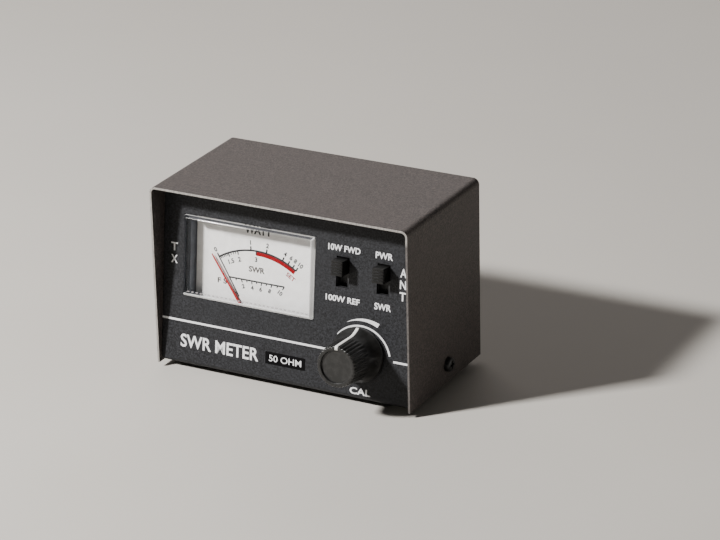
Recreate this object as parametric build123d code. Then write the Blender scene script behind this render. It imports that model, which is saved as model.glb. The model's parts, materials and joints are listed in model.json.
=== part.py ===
"""SWR and power meter for a desk-top radio station.

A folded steel chassis carries a sloping front panel with a moving-coil meter, two slide switches and a
calibration knob, and a rear panel with two coaxial sockets joined by a directional coupler board.
A U-shaped steel cover with plain cut edges slides over it and overhangs the panel as a hood.

Frame, in millimetres: +X to the right as seen from the front, +Y from the front to the back, +Z up.
The origin is on the surface that the feet stand on, at the centre of the whole object's outline.
"""

import os
from math import atan2, cos, degrees, pi, radians, sin

from build123d import *

# ---------------------------------------------------------------- driving dimensions
# Case
CASE_W = 110.0  # over the cover's side walls
CASE_H = 73.0  # cover's lower edges to its top
CASE_D = 60.0  # cover, front edge to rear edge
COVER_T = 0.8  # cover sheet
COVER_BEND = 2.5  # cover's outer bend radius
CHASSIS_T = 1.0  # chassis sheet
CHASSIS_BEND = 1.2  # chassis bend radius, at mid sheet
CHASSIS_CORNER = 2.5  # rounded corners of the top flanges, inside the cover's bends
SIDE_GAP = 0.2  # chassis to each side wall
TOP_GAP = 0.3  # chassis flanges to the cover's top
CHASSIS_LIFT = 0.5  # chassis bottom above the cover's lower edges
PANEL_TILT = 6.84  # degrees that the panel leans back
PANEL_SETBACK = 1.5  # panel behind the cover's front edge, at the bottom
REAR_SETBACK = 1.0  # rear panel inside the cover's rear edge
TOP_FLANGE = 7.0  # folded flanges along the top of both panels
TAB_L = 30.0  # side tabs that the cover screws hold
TAB_H = 12.0
STAND_H = 2.0  # cover's lower edges above the table
FOOT_R = 5.0
FOOT_INSET_X = 14.0
FOOT_INSET_Y = 11.0

# Screws and other hardware
M3_R = 1.5
M3_HEAD_R = 2.9
M3_HEAD_H = 2.1
M25_R = 1.25
M25_HEAD_R = 2.3
M25_HEAD_H = 1.5
THREAD_GAP = 0.02  # between a screw and the hole that it is tapped into
CLEAR_GAP = 0.2  # radial, in a plain clearance hole
SPACER_AF = 5.0  # hexagonal spacers, across flats
SIDE_SCREW_H = 7.5  # side screws above the cover's lower edges
SIDE_SCREW_Y = 1.5  # side screws behind mid depth
SIDE_SCREW_L = 6.0

# Meter: U runs along the panel to the right and V up it, from the panel's foot
METER_U = -16.5
WINDOW_V = 44.7
WINDOW_W = 56.8
WINDOW_H = 32.3
WINDOW_PROUD = 1.5  # window in front of the panel
WINDOW_T = 1.2  # clear wall
WINDOW_BEVEL = 1.1
CUTOUT_GAP = 0.2  # panel cut-out around the window
PIVOT_V = 18.0
RIM_LIP = 1.75  # meter's rim past each side of the window, behind the panel
RIM_TOP_V = 63.6
RIM_LOW_V = 5.0
RIM_GAP = 0.05  # rim to the back of the panel
CLEAR_RIM_T = 1.5
CASE_RIM_T = 1.5
METER_CASE_T = 1.5
METER_CASE_STEP = 1.5  # body inside its rim
METER_DEPTH = 26.0  # behind the panel's face
DIAL_DEPTH = 6.5  # dial's face behind the panel's face
DIAL_T = 0.5
DIAL_LOW_V = 24.4
DIAL_GAP = 0.5  # dial inside the meter case
POINTER_DEPTH = 5.5  # pointer blade behind the panel's face
POINTER_T = 0.3
POINTER_L = 33.4
POINTER_REST = 125.5  # degrees from +U, anticlockwise from the front
POINTER_HUB_DEPTH = 8.4
YOKE_R = 9.5
YOKE_T = 1.8
YOKE_FRONT = 10.2
YOKE_L = 9.4
CORE_R = 5.2
CORE_END_GAP = 1.2  # core shorter than the yoke, at each end
COIL_GAP = 0.4  # coil around the core
COIL_T = 1.0
COIL_W = 3.6
COIL_END_GAP = 0.6  # coil's end bars to the core
BRIDGE_W = 3.0
BRIDGE_T = 0.8
BRIDGE_RISE = 4.0  # bridge's outer face to the yoke's end
JEWEL_R = 1.2
STAFF_R = 0.6
PIVOT_PIN_R = 0.25
WEIGHT_R = 0.8
WEIGHT_L = 2.2
SPRING_TURNS = 3
SPRING_IN_R = 0.63
SPRING_OUT_R = 2.25
SPRING_T = 0.12
SPRING_W = 0.25
SPRING_DEPTH = 8.05  # behind the panel's face
METER_POST = 4.0
TERMINAL_SPACING = 24.0
TERMINAL_V = 42.0
TAG_L = 7.0  # solder tag below each terminal
CLIP_V = 30.0
CLIP_W = 6.0
CLIP_T = 0.8
CLIP_STUD_OUT = 3.2  # stud outside the meter's rim
CLIP_BITE = 1.2  # clip over the rim

# Slide switches
SWITCH_U = (23.8, 41.0)
SWITCH_V = 49.3
SLOT_W = 5.5
SLOT_H = 12.0
FINGER_GAP = 0.4  # slider's finger piece to each side of its slot
FINGER_H = 5.8
FINGER_PROUD = 5.0
SLOT_END_GAP = 0.5
RIB_COUNT = 5
RIB_GAP = 0.5
RIB_DEPTH = 0.4
SWITCH_T = 6.5  # depth of the housing
SWITCH_WALL = 0.7
SWITCH_SIDE = 0.8  # housing wall beside the slider
SWITCH_END = 2.65  # housing beyond each end of the slider's channel
SLIDER_BASE_T = 1.6
SLIDER_GAP = 0.2
SLIDER_LIP = 0.45  # slider's base past each side of the slot
SLIDER_END_LIP = 1.6  # slider's base past each end of the finger piece
PIN_W = 0.8
PIN_T = 0.4
PIN_L = 3.6
PIN_PITCH_U = 4.0
PIN_PITCH_V = 5.0
PIN_HOLE_R = 0.65

# Control board, behind the switches
BOARD_T = 1.6
CONTROL_BOARD_U = (18.4, 47.6)
CONTROL_BOARD_V = (37.4, 63.2)
CONTROL_SPACER_V = (41.5, 59.0)

# Calibration potentiometer and its knob
CAL_U = 31.8
CAL_V = 18.5
POT_R = 8.2
POT_T = 9.0
LUG_PITCH = 4.0
BUSHING_WALL = 0.45
BUSHING_L = 5.0  # in front of the panel
SHAFT_R = 3.0
SHAFT_GAP = 0.05
SHAFT_TIP = 14.2  # shaft's end in front of the panel
WASHER_LAND = 1.9  # washer past the bushing
WASHER_T = 0.5
NUT_LAND = 1.5  # nut past the bushing, across flats
NUT_T = 2.2
KNOB_GAP = 0.6  # knob's skirt to the panel
KNOB_SKIRT_R = 10.8
KNOB_SKIRT_T = 1.0
KNOB_BODY_R = 8.6  # where the flare ends
KNOB_FLARE_TOP = 8.0
KNOB_FACE_R = 8.05
KNOB_L = 18.3  # knob's face in front of the panel
KNOB_DISH_R = 6.4
KNOB_DISH_T = 0.8
CAVITY_GAP = 0.8  # knob's cavity around the nut and over the bushing
KNOB_FLUTES = 32
KNOB_FLUTE_R = 0.45
CAL_TURN = 150.0  # degrees each way

# Coaxial sockets on the rear panel
SOCKET_X = 31.0
SOCKET_H = 38.0  # above the cover's lower edges
FLANGE_W = 25.4
FLANGE_T = 1.6
FLANGE_CORNER = 3.0
BOLT_SPACING = 18.2
BARREL_R = 7.94
BARREL_L = 12.0
BARREL_WALL = 1.74
NOTCH_W = 2.0
NOTCH_D = 1.0
DIELECTRIC_DEPTH = 5.0  # below the barrel's rim
DIELECTRIC_BACK = 4.5  # behind the flange
DIELECTRIC_GAP = 0.02
CONTACT_BORE_R = 2.0
CONTACT_WALL = 1.05
CONTACT_BORE_L = 10.0
CONTACT_PROUD = 3.0  # in front of the dielectric
CONTACT_SLIT = 0.5
CONTACT_SLIT_L = 6.0
CUP_R = 1.7
CUP_BORE_R = 0.9
CUP_GAP = 0.1  # solder cup in the coupler board
SOCKET_HOLE_GAP = 0.3
SOCKET_SCREW_L = 6.0
NUT3_AF = 5.5
NUT3_T = 2.2

# Directional coupler board, in front of the rear panel
COUPLER_W = 84.0
COUPLER_H = 28.0
COUPLER_GAP = 12.0  # rear panel to board
CUP_L = 3.4  # solder cup in front of the board's rear face
STRIP_T = 0.1
MAIN_STRIP_W = 5.0
PICKUP_L = 42.0
PICKUP_W = 1.6
PICKUP_OFFSET = 5.2
COUPLER_SPACER_Z = 8.5

# Hook-up wires
WIRE_R = 0.55
WIRE_BEND = 3.4

# ---------------------------------------------------------------- derived places
SIN_TILT = sin(radians(PANEL_TILT))
COS_TILT = cos(radians(PANEL_TILT))
BARREL_TIP = FLANGE_T + BARREL_L  # in front of the rear panel's face
FACE_LOW_V = CAL_V - KNOB_FACE_R  # the knob face's lowest point along the panel
FRONT_REACH = KNOB_L * COS_TILT - PANEL_SETBACK - FACE_LOW_V * SIN_TILT  # knob past the cover's front edge
REAR_REACH = BARREL_TIP - REAR_SETBACK  # sockets past the cover's rear edge
FRONT_Y = -CASE_D / 2 + (FRONT_REACH - REAR_REACH) / 2
REAR_Y = FRONT_Y + CASE_D
MID_Y = (FRONT_Y + REAR_Y) / 2
REAR_PANEL_Y = REAR_Y - REAR_SETBACK  # outer face
TOP_Z = STAND_H + CASE_H
CHASSIS_W = CASE_W - 2 * COVER_T - 2 * SIDE_GAP
CHASSIS_LOW_Z = STAND_H + CHASSIS_LIFT
SOCKET_Z = STAND_H + SOCKET_H
COUPLER_BACK_Y = REAR_PANEL_Y - CHASSIS_T - COUPLER_GAP
COUPLER_FRONT_Y = COUPLER_BACK_Y - BOARD_T
CASE_RIM_BACK = CHASSIS_T + RIM_GAP + CLEAR_RIM_T + CASE_RIM_T
METER_V = (RIM_TOP_V + RIM_LOW_V) / 2
RIM_W = WINDOW_W + 2 * RIM_LIP
RIM_H = RIM_TOP_V - RIM_LOW_V
METER_BODY_W = RIM_W - 2 * METER_CASE_STEP
METER_BODY_H = RIM_H - 2 * METER_CASE_STEP
METER_INNER_W = METER_BODY_W - 2 * METER_CASE_T
METER_INNER_H = METER_BODY_H - 2 * METER_CASE_T
SWITCH_BACK = CHASSIS_T + SWITCH_T
SWITCH_TRAVEL = SLOT_H - FINGER_H - 2 * SLOT_END_GAP
FINGER_W = SLOT_W - 2 * FINGER_GAP
SLIDER_BASE_W = SLOT_W + 2 * SLIDER_LIP
SLIDER_BASE_H = FINGER_H + 2 * SLIDER_END_LIP
CHANNEL_W = SLIDER_BASE_W + 2 * SLIDER_GAP
CHANNEL_H = SLIDER_BASE_H + SWITCH_TRAVEL + 2 * SLOT_END_GAP
SWITCH_W = CHANNEL_W + 2 * SWITCH_SIDE
SWITCH_H = CHANNEL_H + 2 * SWITCH_END
SLIDER_V = SWITCH_V + SWITCH_TRAVEL / 2  # sliders stand at the top of their travel
BUSHING_R = SHAFT_R + SHAFT_GAP + BUSHING_WALL
WASHER_R = BUSHING_R + WASHER_LAND
NUT_AF = 2 * (BUSHING_R + NUT_LAND)
KNOB_CAVITY_R = NUT_AF / 2 / cos(pi / 6) + CAVITY_GAP
KNOB_CAVITY_TOP = BUSHING_L + CAVITY_GAP
BARREL_BORE_R = BARREL_R - BARREL_WALL
CONTACT_R = CONTACT_BORE_R + CONTACT_WALL

# The panel's own plane: local X is U, local Y is V and local Z points out of the panel's face.
PANEL = Plane(
    origin=(0, FRONT_Y + PANEL_SETBACK, STAND_H), x_dir=(1, 0, 0), z_dir=(0, -COS_TILT, SIN_TILT)
)
# The rear panel's plane: local Y is up and local Z points out of the back, from the case's mid width.
REAR = Plane(origin=(0, REAR_PANEL_Y, STAND_H), x_dir=(-1, 0, 0), z_dir=(0, 1, 0))


# ---------------------------------------------------------------- helpers
def on_panel(u, v, out=0.0):
    """A place on the panel, out millimetres in front of its face."""
    return PANEL.location * Pos(u, v, out)


def on_rear(x, height, out=0.0):
    """A place on the rear panel at row X, out millimetres behind the object."""
    return REAR.location * Pos(-x, height, out)


def rod(radius, low, high):
    """A cylinder along local Z from low to high."""
    return Pos(0, 0, (low + high) / 2) * Cylinder(radius, high - low)


def block(width, height, low, high):
    """A box centred on local Z, from low to high along it."""
    return Pos(0, 0, (low + high) / 2) * Box(width, height, high - low)


def tube(outer, inner, low, high):
    return rod(outer, low, high) - rod(inner, low - 1, high + 1)


def hexagon(across_flats, low, high):
    outline = RegularPolygon(across_flats / 2, 6, major_radius=False)
    return Pos(0, 0, low) * extrude(outline, high - low)


def pan_screw(radius, head_radius, head_height, length):
    """A cross-recessed pan-head screw: its head stands on local Z 0 and its shank runs down."""
    head = fillet(rod(head_radius, 0, head_height).edges().sort_by(Axis.Z)[-1], head_height * 0.55)
    arm, width, deep = head_radius * 1.1, head_radius * 0.26, head_height * 0.5
    recess = block(arm, width, head_height - deep, head_height + 1)
    recess += block(width, arm, head_height - deep, head_height + 1)
    shank = chamfer(rod(radius, -length, 0).edges().sort_by(Axis.Z)[0], radius * 0.3)
    return head - recess + shank


def folded_sheet(points, radius, thickness, width, plane):
    """A sheet folded along a path of points at mid thickness, width wide about the plane."""
    with BuildSketch() as outline:
        with BuildLine() as path:
            FilletPolyline(*points, radius=radius)
        trace(path.line, line_width=thickness)
    return plane.location * extrude(outline.sketch, width / 2, both=True)


def write(name, *solids):
    """One STEP file for a node, with each of its pieces as a solid of its own."""
    pieces = [piece for solid in solids for piece in solid.solids()]
    shape = pieces[0] if len(pieces) == 1 else Compound(children=pieces)
    shape.label = name
    export_step(shape, f"parts/{name}.step")


# ---------------------------------------------------------------- case
def chassis():
    """Front panel, bottom and rear panel folded from one sheet, with two side tabs and all the holes."""
    half = CHASSIS_T / 2
    low, high = CHASSIS_LOW_Z + half, TOP_Z - COVER_T - TOP_GAP - half

    def panel_mid_y(z):
        return FRONT_Y + PANEL_SETBACK + half / COS_TILT + (z - STAND_H) * SIN_TILT / COS_TILT

    rear_mid = REAR_PANEL_Y - half
    points = [
        (panel_mid_y(high) + TOP_FLANGE, high),
        (panel_mid_y(high), high),
        (panel_mid_y(low), low),
        (rear_mid, low),
        (rear_mid, high),
        (rear_mid - TOP_FLANGE, high),
    ]
    side_view = Plane(origin=(0, 0, 0), x_dir=(0, 1, 0), z_dir=(1, 0, 0))
    body = folded_sheet(points, CHASSIS_BEND, CHASSIS_T, CHASSIS_W, side_view)
    inside = Pos(0, MID_Y, (high + half) / 2) * Box(CHASSIS_W, 2 * CASE_D, high + half)
    body &= fillet(inside.edges().filter_by(Axis.Y).group_by(Axis.Z)[-1], CHASSIS_CORNER)
    for side in (-1, 1):
        tab = Pos(side * (CHASSIS_W / 2 - half), MID_Y + SIDE_SCREW_Y, CHASSIS_LOW_Z + TAB_H / 2)
        body += tab * Box(CHASSIS_T, TAB_L, TAB_H)
        hole = Pos(side * CHASSIS_W / 2, MID_Y + SIDE_SCREW_Y, STAND_H + SIDE_SCREW_H)
        body -= hole * Rot(0, 90, 0) * Cylinder(M3_R + THREAD_GAP, 6)

    window = block(WINDOW_W + 2 * CUTOUT_GAP, WINDOW_H + 2 * CUTOUT_GAP, -3, 3)
    body -= on_panel(METER_U, WINDOW_V) * window
    for u in SWITCH_U:
        body -= on_panel(u, SWITCH_V) * block(SLOT_W, SLOT_H, -3, 3)
    body -= on_panel(CAL_U, CAL_V) * rod(BUSHING_R + CLEAR_GAP, -3, 3)

    for x in (-SOCKET_X, SOCKET_X):
        body -= on_rear(x, SOCKET_H) * rod(BARREL_BORE_R + SOCKET_HOLE_GAP, -3, 3)
        for place in GridLocations(BOLT_SPACING, BOLT_SPACING, 2, 2):
            body -= on_rear(x, SOCKET_H) * place * rod(M3_R + CLEAR_GAP, -3, 3)
    for rise in (-COUPLER_SPACER_Z, COUPLER_SPACER_Z):
        body -= on_rear(0, SOCKET_H + rise) * rod(M25_R + CLEAR_GAP, -3, 3)
    return body


def cover():
    """Top and both sides folded from one sheet, open at the front, the back and below."""
    half_w, high = CASE_W / 2 - COVER_T / 2, TOP_Z - COVER_T / 2
    points = [(-half_w, STAND_H), (-half_w, high), (half_w, high), (half_w, STAND_H)]
    front_view = Plane(origin=(0, MID_Y, 0), x_dir=(1, 0, 0), z_dir=(0, -1, 0))
    body = folded_sheet(points, COVER_BEND - COVER_T / 2, COVER_T, CASE_D, front_view)
    hole = Pos(0, MID_Y + SIDE_SCREW_Y, STAND_H + SIDE_SCREW_H) * Rot(0, 90, 0)
    return body - hole * Cylinder(M3_R + CLEAR_GAP, CASE_W + 2)


def side_screws():
    screw = pan_screw(M3_R, M3_HEAD_R, M3_HEAD_H, SIDE_SCREW_L)
    y, z = MID_Y + SIDE_SCREW_Y, STAND_H + SIDE_SCREW_H
    return [Pos(side * CASE_W / 2, y, z) * Rot(0, side * 90, 0) * screw for side in (-1, 1)]


def feet():
    foot = fillet(rod(FOOT_R, 0, CHASSIS_LOW_Z).edges().sort_by(Axis.Z)[0], 0.8)
    across, along = CASE_W - 2 * FOOT_INSET_X, CASE_D - 2 * FOOT_INSET_Y
    return [Pos(0, MID_Y, 0) * place * foot for place in GridLocations(across, along, 2, 2)]


# ---------------------------------------------------------------- meter
def meter_window():
    """Clear front: a raised, bevelled window on a rim that lies behind the panel."""
    face = -CHASSIS_T - RIM_GAP
    rim = on_panel(METER_U, METER_V) * block(RIM_W, RIM_H, face - CLEAR_RIM_T, face)
    raised = block(WINDOW_W, WINDOW_H, face, WINDOW_PROUD)
    raised = chamfer(raised.faces().sort_by(Axis.Z)[-1].edges(), WINDOW_BEVEL)
    inner_w, inner_h = WINDOW_W - 2 * WINDOW_T, WINDOW_H - 2 * WINDOW_T
    hollow = block(inner_w, inner_h, face - CLEAR_RIM_T - 1, WINDOW_PROUD - WINDOW_T)
    place = on_panel(METER_U, WINDOW_V)
    return rim + place * raised - place * hollow


def meter_case():
    """Opaque back of the meter: a rimmed box with posts for the dial and blocks for the movement."""
    front = -CHASSIS_T - RIM_GAP - CLEAR_RIM_T
    centre = on_panel(METER_U, METER_V)
    floor = -METER_DEPTH + METER_CASE_T
    body = block(RIM_W, RIM_H, -CASE_RIM_BACK, front)
    body += block(METER_BODY_W, METER_BODY_H, -METER_DEPTH, front)
    body -= block(METER_INNER_W, METER_INNER_H, floor, front + 1)
    body = centre * body
    for side in (-1, 1):
        for v in (DIAL_LOW_V + METER_POST / 2, METER_V + METER_INNER_H / 2 - METER_POST / 2):
            u = METER_U + side * (METER_INNER_W - METER_POST) / 2
            body += on_panel(u, v) * block(METER_POST, METER_POST, floor, -DIAL_DEPTH - DIAL_T)
        v = PIVOT_V + side * (YOKE_R - YOKE_T / 2)
        body += on_panel(METER_U, v) * block(6, YOKE_T, floor, -YOKE_FRONT - YOKE_L)
        v = DIAL_LOW_V + METER_POST / 2
        u = METER_U + side * (METER_INNER_W - METER_POST) / 2
        body -= on_panel(u, v) * rod(0.8 + THREAD_GAP, -DIAL_DEPTH - 5, 0)
    return body


def meter_dial():
    high = METER_V + METER_INNER_H / 2 - DIAL_GAP
    plate = block(METER_INNER_W - 2 * DIAL_GAP, high - DIAL_LOW_V, -DIAL_DEPTH - DIAL_T, -DIAL_DEPTH)
    body = on_panel(METER_U, (high + DIAL_LOW_V) / 2) * plate
    for side in (-1, 1):
        u = METER_U + side * (METER_INNER_W - METER_POST) / 2
        body -= on_panel(u, DIAL_LOW_V + METER_POST / 2) * rod(1.0, -DIAL_DEPTH - 2, 0)
    return body


def dial_screws():
    screw = pan_screw(0.8, 1.5, 0.8, 3.5)
    v = DIAL_LOW_V + METER_POST / 2
    return [
        on_panel(METER_U + side * (METER_INNER_W - METER_POST) / 2, v, -DIAL_DEPTH) * screw
        for side in (-1, 1)
    ]


def movement_frame():
    """Soft-iron yoke ring around the air gap."""
    back = -YOKE_FRONT - YOKE_L
    return on_panel(METER_U, PIVOT_V) * tube(YOKE_R, YOKE_R - YOKE_T, back, -YOKE_FRONT)


def core_ends():
    return -YOKE_FRONT - YOKE_L + CORE_END_GAP, -YOKE_FRONT - CORE_END_GAP


def core_magnet():
    low, high = core_ends()
    return on_panel(METER_U, PIVOT_V) * chamfer(rod(CORE_R, low, high).edges(), 0.3)


def core_spacers():
    """Two non-magnetic blocks that hold the core inside the yoke, above and below."""
    low, high = core_ends()
    ring = tube(YOKE_R - YOKE_T, CORE_R, low + 1, high - 1)
    both = ring & block(3.0, 3 * YOKE_R, low, high)
    return [on_panel(METER_U, PIVOT_V) * piece for piece in both.solids()]


def bridges():
    """Front and rear bridges across the yoke, each with a hole for its jewel screw."""
    span, leg = 2 * YOKE_R, YOKE_T
    made = []
    for end, sign in ((-YOKE_FRONT, 1), (-YOKE_FRONT - YOKE_L, -1)):
        far = end + sign * BRIDGE_RISE
        near = far - sign * BRIDGE_T
        bar = block(span, BRIDGE_W, min(near, far), max(near, far))
        for side in (-1, 1):
            leg_place = Pos(side * (span - leg) / 2, 0, 0)
            bar += leg_place * block(leg, BRIDGE_W, min(end, far), max(end, far))
        bar -= rod(JEWEL_R + THREAD_GAP, min(near, far) - 1, max(near, far) + 1)
        trim = rod(YOKE_R, min(end, far), max(end, far))
        made.append(on_panel(METER_U, PIVOT_V) * (bar & trim))
    return made


def jewel_screws():
    """Slotted screws with a cupped end that each pivot pin turns in."""
    made = []
    for end, sign in ((-YOKE_FRONT, 1), (-YOKE_FRONT - YOKE_L, -1)):
        tip, head = end + sign * (BRIDGE_RISE - 1.5), end + sign * (BRIDGE_RISE + 0.6)
        body = rod(JEWEL_R, min(tip, head), max(tip, head))
        body -= rod(PIVOT_PIN_R + SHAFT_GAP, tip - 0.6, tip + 0.6)
        body -= block(3 * JEWEL_R, 0.4, head - 0.4, head + 0.4)
        made.append(on_panel(METER_U, PIVOT_V) * body)
    return made


def coil_ends():
    low, high = core_ends()
    return low - COIL_END_GAP - COIL_T, high + COIL_END_GAP + COIL_T


def turned():
    """The moving system's place: its local Y lies along the pointer."""
    return on_panel(METER_U, PIVOT_V) * Rot(0, 0, POINTER_REST - 90)


def moving_coil():
    """Wound frame around the core, with its two staffs and pivot pins."""
    low, high = coil_ends()
    outer = CORE_R + COIL_GAP + COIL_T
    frame = block(2 * outer, COIL_W, low, high)
    frame -= block(2 * (CORE_R + COIL_GAP), COIL_W + 1, low + COIL_T, high - COIL_T)
    frame += rod(STAFF_R, high, -POINTER_HUB_DEPTH + 0.5) + rod(STAFF_R, low - 0.4, low)
    frame += rod(PIVOT_PIN_R, -POINTER_HUB_DEPTH + 0.5, -YOKE_FRONT + 2.9)
    frame += rod(PIVOT_PIN_R, -YOKE_FRONT - YOKE_L - 2.9, low - 0.4)
    return turned() * frame


def pointer():
    """Cranked pointer: a hub on the staff, a rising neck and a fine blade in front of the dial."""
    hub_low, hub_high = -POINTER_HUB_DEPTH - 0.2, -POINTER_HUB_DEPTH + 0.2
    blade_low = -POINTER_DEPTH - POINTER_T / 2
    neck_end = 6.0
    hub = tube(1.6, STAFF_R, hub_low, hub_high)
    arm = Pos(0, 2.1, 0) * block(0.9, 2.6, hub_low, hub_high)
    with BuildSketch(Plane.YZ) as neck_side:
        with BuildLine():
            Polyline(
                (3.0, hub_low),
                (neck_end + 0.4, blade_low),
                (neck_end + 0.4, blade_low + POINTER_T),
                (neck_end, blade_low + POINTER_T),
                (2.6, hub_high),
                (2.6, hub_low),
                close=True,
            )
        make_face()
    neck = extrude(neck_side.sketch, 0.45, both=True)
    with BuildSketch() as blade_plan:
        with BuildLine():
            Polyline(
                (-0.45, neck_end),
                (0.45, neck_end),
                (0.27, POINTER_L - 1.5),
                (0.12, POINTER_L),
                (-0.12, POINTER_L),
                (-0.27, POINTER_L - 1.5),
                close=True,
            )
        make_face()
    blade = Pos(0, 0, blade_low) * extrude(blade_plan.sketch, POINTER_T)
    return turned() * (hub + arm + neck + blade)


def balance_weights():
    """Three solder-coil weights on a cross of wire behind the hub, which balance the pointer."""
    made = []
    for angle in (90, 180, 270):
        stem = Pos(0, 2.2, -POINTER_HUB_DEPTH) * Box(0.5, 1.2, 0.4)
        centre = 2.8 + WEIGHT_L / 2
        weight = Pos(0, centre, -POINTER_HUB_DEPTH) * Rot(90, 0, 0) * Cylinder(WEIGHT_R, WEIGHT_L)
        made.append(turned() * Rot(0, 0, angle) * (stem + weight))
    return made


def hairspring():
    """Flat spiral spring between the staff and a post on the front bridge."""
    steps = 12 * SPRING_TURNS

    def at(share, shift):
        angle = 2 * pi * SPRING_TURNS * share
        radius = SPRING_IN_R + (SPRING_OUT_R - SPRING_IN_R) * share + shift
        return (radius * cos(angle), radius * sin(angle))

    with BuildSketch() as flat:
        with BuildLine():
            rise = Spline(*[at(i / steps, SPRING_T) for i in range(steps + 1)])
            fall = Spline(*[at(i / steps, 0) for i in range(steps + 1)])
            Line(rise @ 0, fall @ 0)
            Line(rise @ 1, fall @ 1)
        make_face()
    spiral = Pos(0, 0, -SPRING_DEPTH) * extrude(flat.sketch, SPRING_W)
    bridge_back = -YOKE_FRONT + BRIDGE_RISE - BRIDGE_T
    post = Pos(SPRING_OUT_R + SPRING_T / 2, 0, 0) * block(0.5, 0.8, -SPRING_DEPTH, bridge_back)
    return on_panel(METER_U, PIVOT_V) * (spiral + post)


def meter_terminals():
    """Two threaded terminals on the back of the meter, each with a flange and a flat solder tag."""
    made = []
    for side in (-1, 1):
        stud = rod(1.4, -METER_DEPTH - 6, -METER_DEPTH) + rod(3.0, -METER_DEPTH - 1, -METER_DEPTH)
        tag = Pos(0, -TAG_L / 2, 0) * block(3.0, TAG_L, -METER_DEPTH - 1.5, -METER_DEPTH - 1)
        made.append(on_panel(METER_U + side * TERMINAL_SPACING / 2, TERMINAL_V) * (stud + tag))
    return made


def clip_places():
    out = RIM_W / 2 + CLIP_STUD_OUT
    return [(side, on_panel(METER_U + side * out, CLIP_V)) for side in (-1, 1)]


def clip_studs():
    """Weld studs on the back of the panel."""
    stud = rod(M25_R, -CHASSIS_T - 9, -CHASSIS_T)
    return [place * stud for _, place in clip_places()]


def meter_clips():
    """Folded clips that press the meter's rim against the panel."""
    inner = CLIP_STUD_OUT + CLIP_BITE
    outer = 3.2
    made = []
    for side, place in clip_places():
        low = -CASE_RIM_BACK - CLIP_T
        middle = side * (outer - inner) / 2
        clip = Pos(middle, 0, 0) * block(inner + outer, CLIP_W, low, -CASE_RIM_BACK)
        heel = Pos(side * (outer - CLIP_T / 2), 0, 0)
        clip += heel * block(CLIP_T, CLIP_W, low, -CHASSIS_T)
        made.append(place * (clip - rod(M25_R + CLEAR_GAP, low - 1, 0)))
    return made


def clip_nuts():
    top = -CASE_RIM_BACK - CLIP_T
    nut = hexagon(5.0, top - 2.0, top) - rod(M25_R + THREAD_GAP, top - 3, top + 1)
    return [place * nut for _, place in clip_places()]


# ---------------------------------------------------------------- switches and control board
def switch_body(u):
    """Moulded switch housing with a channel for its slider, open to the slot in the panel."""
    front = -CHASSIS_T
    body = block(SWITCH_W, SWITCH_H, front - SWITCH_T, front)
    body -= block(SLOT_W, SLOT_H, front - 2 * SWITCH_WALL, front + 1)
    top = front - SWITCH_WALL
    body -= block(CHANNEL_W, CHANNEL_H, top - SLIDER_BASE_T - 2 * SLIDER_GAP, top)
    return on_panel(u, SWITCH_V) * body


def switch_slider(u):
    """Slider base in the housing and its ribbed finger piece through the slot."""
    top = -CHASSIS_T - SWITCH_WALL - SLIDER_GAP
    body = block(SLIDER_BASE_W, SLIDER_BASE_H, top - SLIDER_BASE_T, top)
    finger = block(FINGER_W, FINGER_H, top, FINGER_PROUD)
    finger = fillet(finger.edges().filter_by(Axis.Z), 0.4)
    pitch = FINGER_H / RIB_COUNT
    for i in range(RIB_COUNT - 1):
        groove = block(FINGER_W + 1, RIB_GAP, FINGER_PROUD - RIB_DEPTH, FINGER_PROUD + 1)
        finger -= Pos(0, (i + 1) * pitch - FINGER_H / 2, 0) * groove
    return on_panel(u, SLIDER_V) * (body + finger)


def pin_places():
    return list(GridLocations(PIN_PITCH_U, PIN_PITCH_V, 2, 3))


def switch_pins(u):
    pin = block(PIN_W, PIN_T, -SWITCH_BACK - PIN_L, -SWITCH_BACK)
    return [on_panel(u, SWITCH_V) * place * pin for place in pin_places()]


def control_spacer_places():
    u = sum(SWITCH_U) / 2
    return [on_panel(u, v) for v in CONTROL_SPACER_V]


def control_board():
    (left, right), (low, high) = CONTROL_BOARD_U, CONTROL_BOARD_V
    plate = block(right - left, high - low, -SWITCH_BACK - BOARD_T, -SWITCH_BACK)
    body = on_panel((left + right) / 2, (low + high) / 2) * plate
    deep = -SWITCH_BACK - BOARD_T - 1
    for u in SWITCH_U:
        for place in pin_places():
            body -= on_panel(u, SWITCH_V) * place * rod(PIN_HOLE_R, deep, 0)
    for place in control_spacer_places():
        body -= place * rod(M25_R + CLEAR_GAP, deep, 0)
    return body


def control_spacers():
    spacer = hexagon(SPACER_AF, -SWITCH_BACK, -CHASSIS_T)
    spacer -= rod(M25_R + THREAD_GAP, -SWITCH_BACK - 1, -CHASSIS_T - 1)
    return [place * spacer for place in control_spacer_places()]


def control_screws():
    screw = Pos(0, 0, -SWITCH_BACK - BOARD_T) * Rot(180, 0, 0)
    screw = screw * pan_screw(M25_R, M25_HEAD_R, M25_HEAD_H, BOARD_T + 3.5)
    return [place * screw for place in control_spacer_places()]


# ---------------------------------------------------------------- calibration control
def pot_body():
    """Potentiometer can with its threaded bushing through the panel."""
    can = fillet(rod(POT_R, -CHASSIS_T - POT_T, -CHASSIS_T).edges().sort_by(Axis.Z)[0], 0.8)
    base = Pos(0, -POT_R + 0.5, 0) * block(12.0, 4.0, -CHASSIS_T - 3.5, -CHASSIS_T - 1.5)
    body = can + base + rod(BUSHING_R, -CHASSIS_T, BUSHING_L)
    body -= rod(SHAFT_R + SHAFT_GAP, -CHASSIS_T - 2.0, BUSHING_L + 1)
    body -= rod(6.6, -CHASSIS_T - POT_T + 1.5, -CHASSIS_T - 2.0)
    return on_panel(CAL_U, CAL_V) * body


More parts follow.
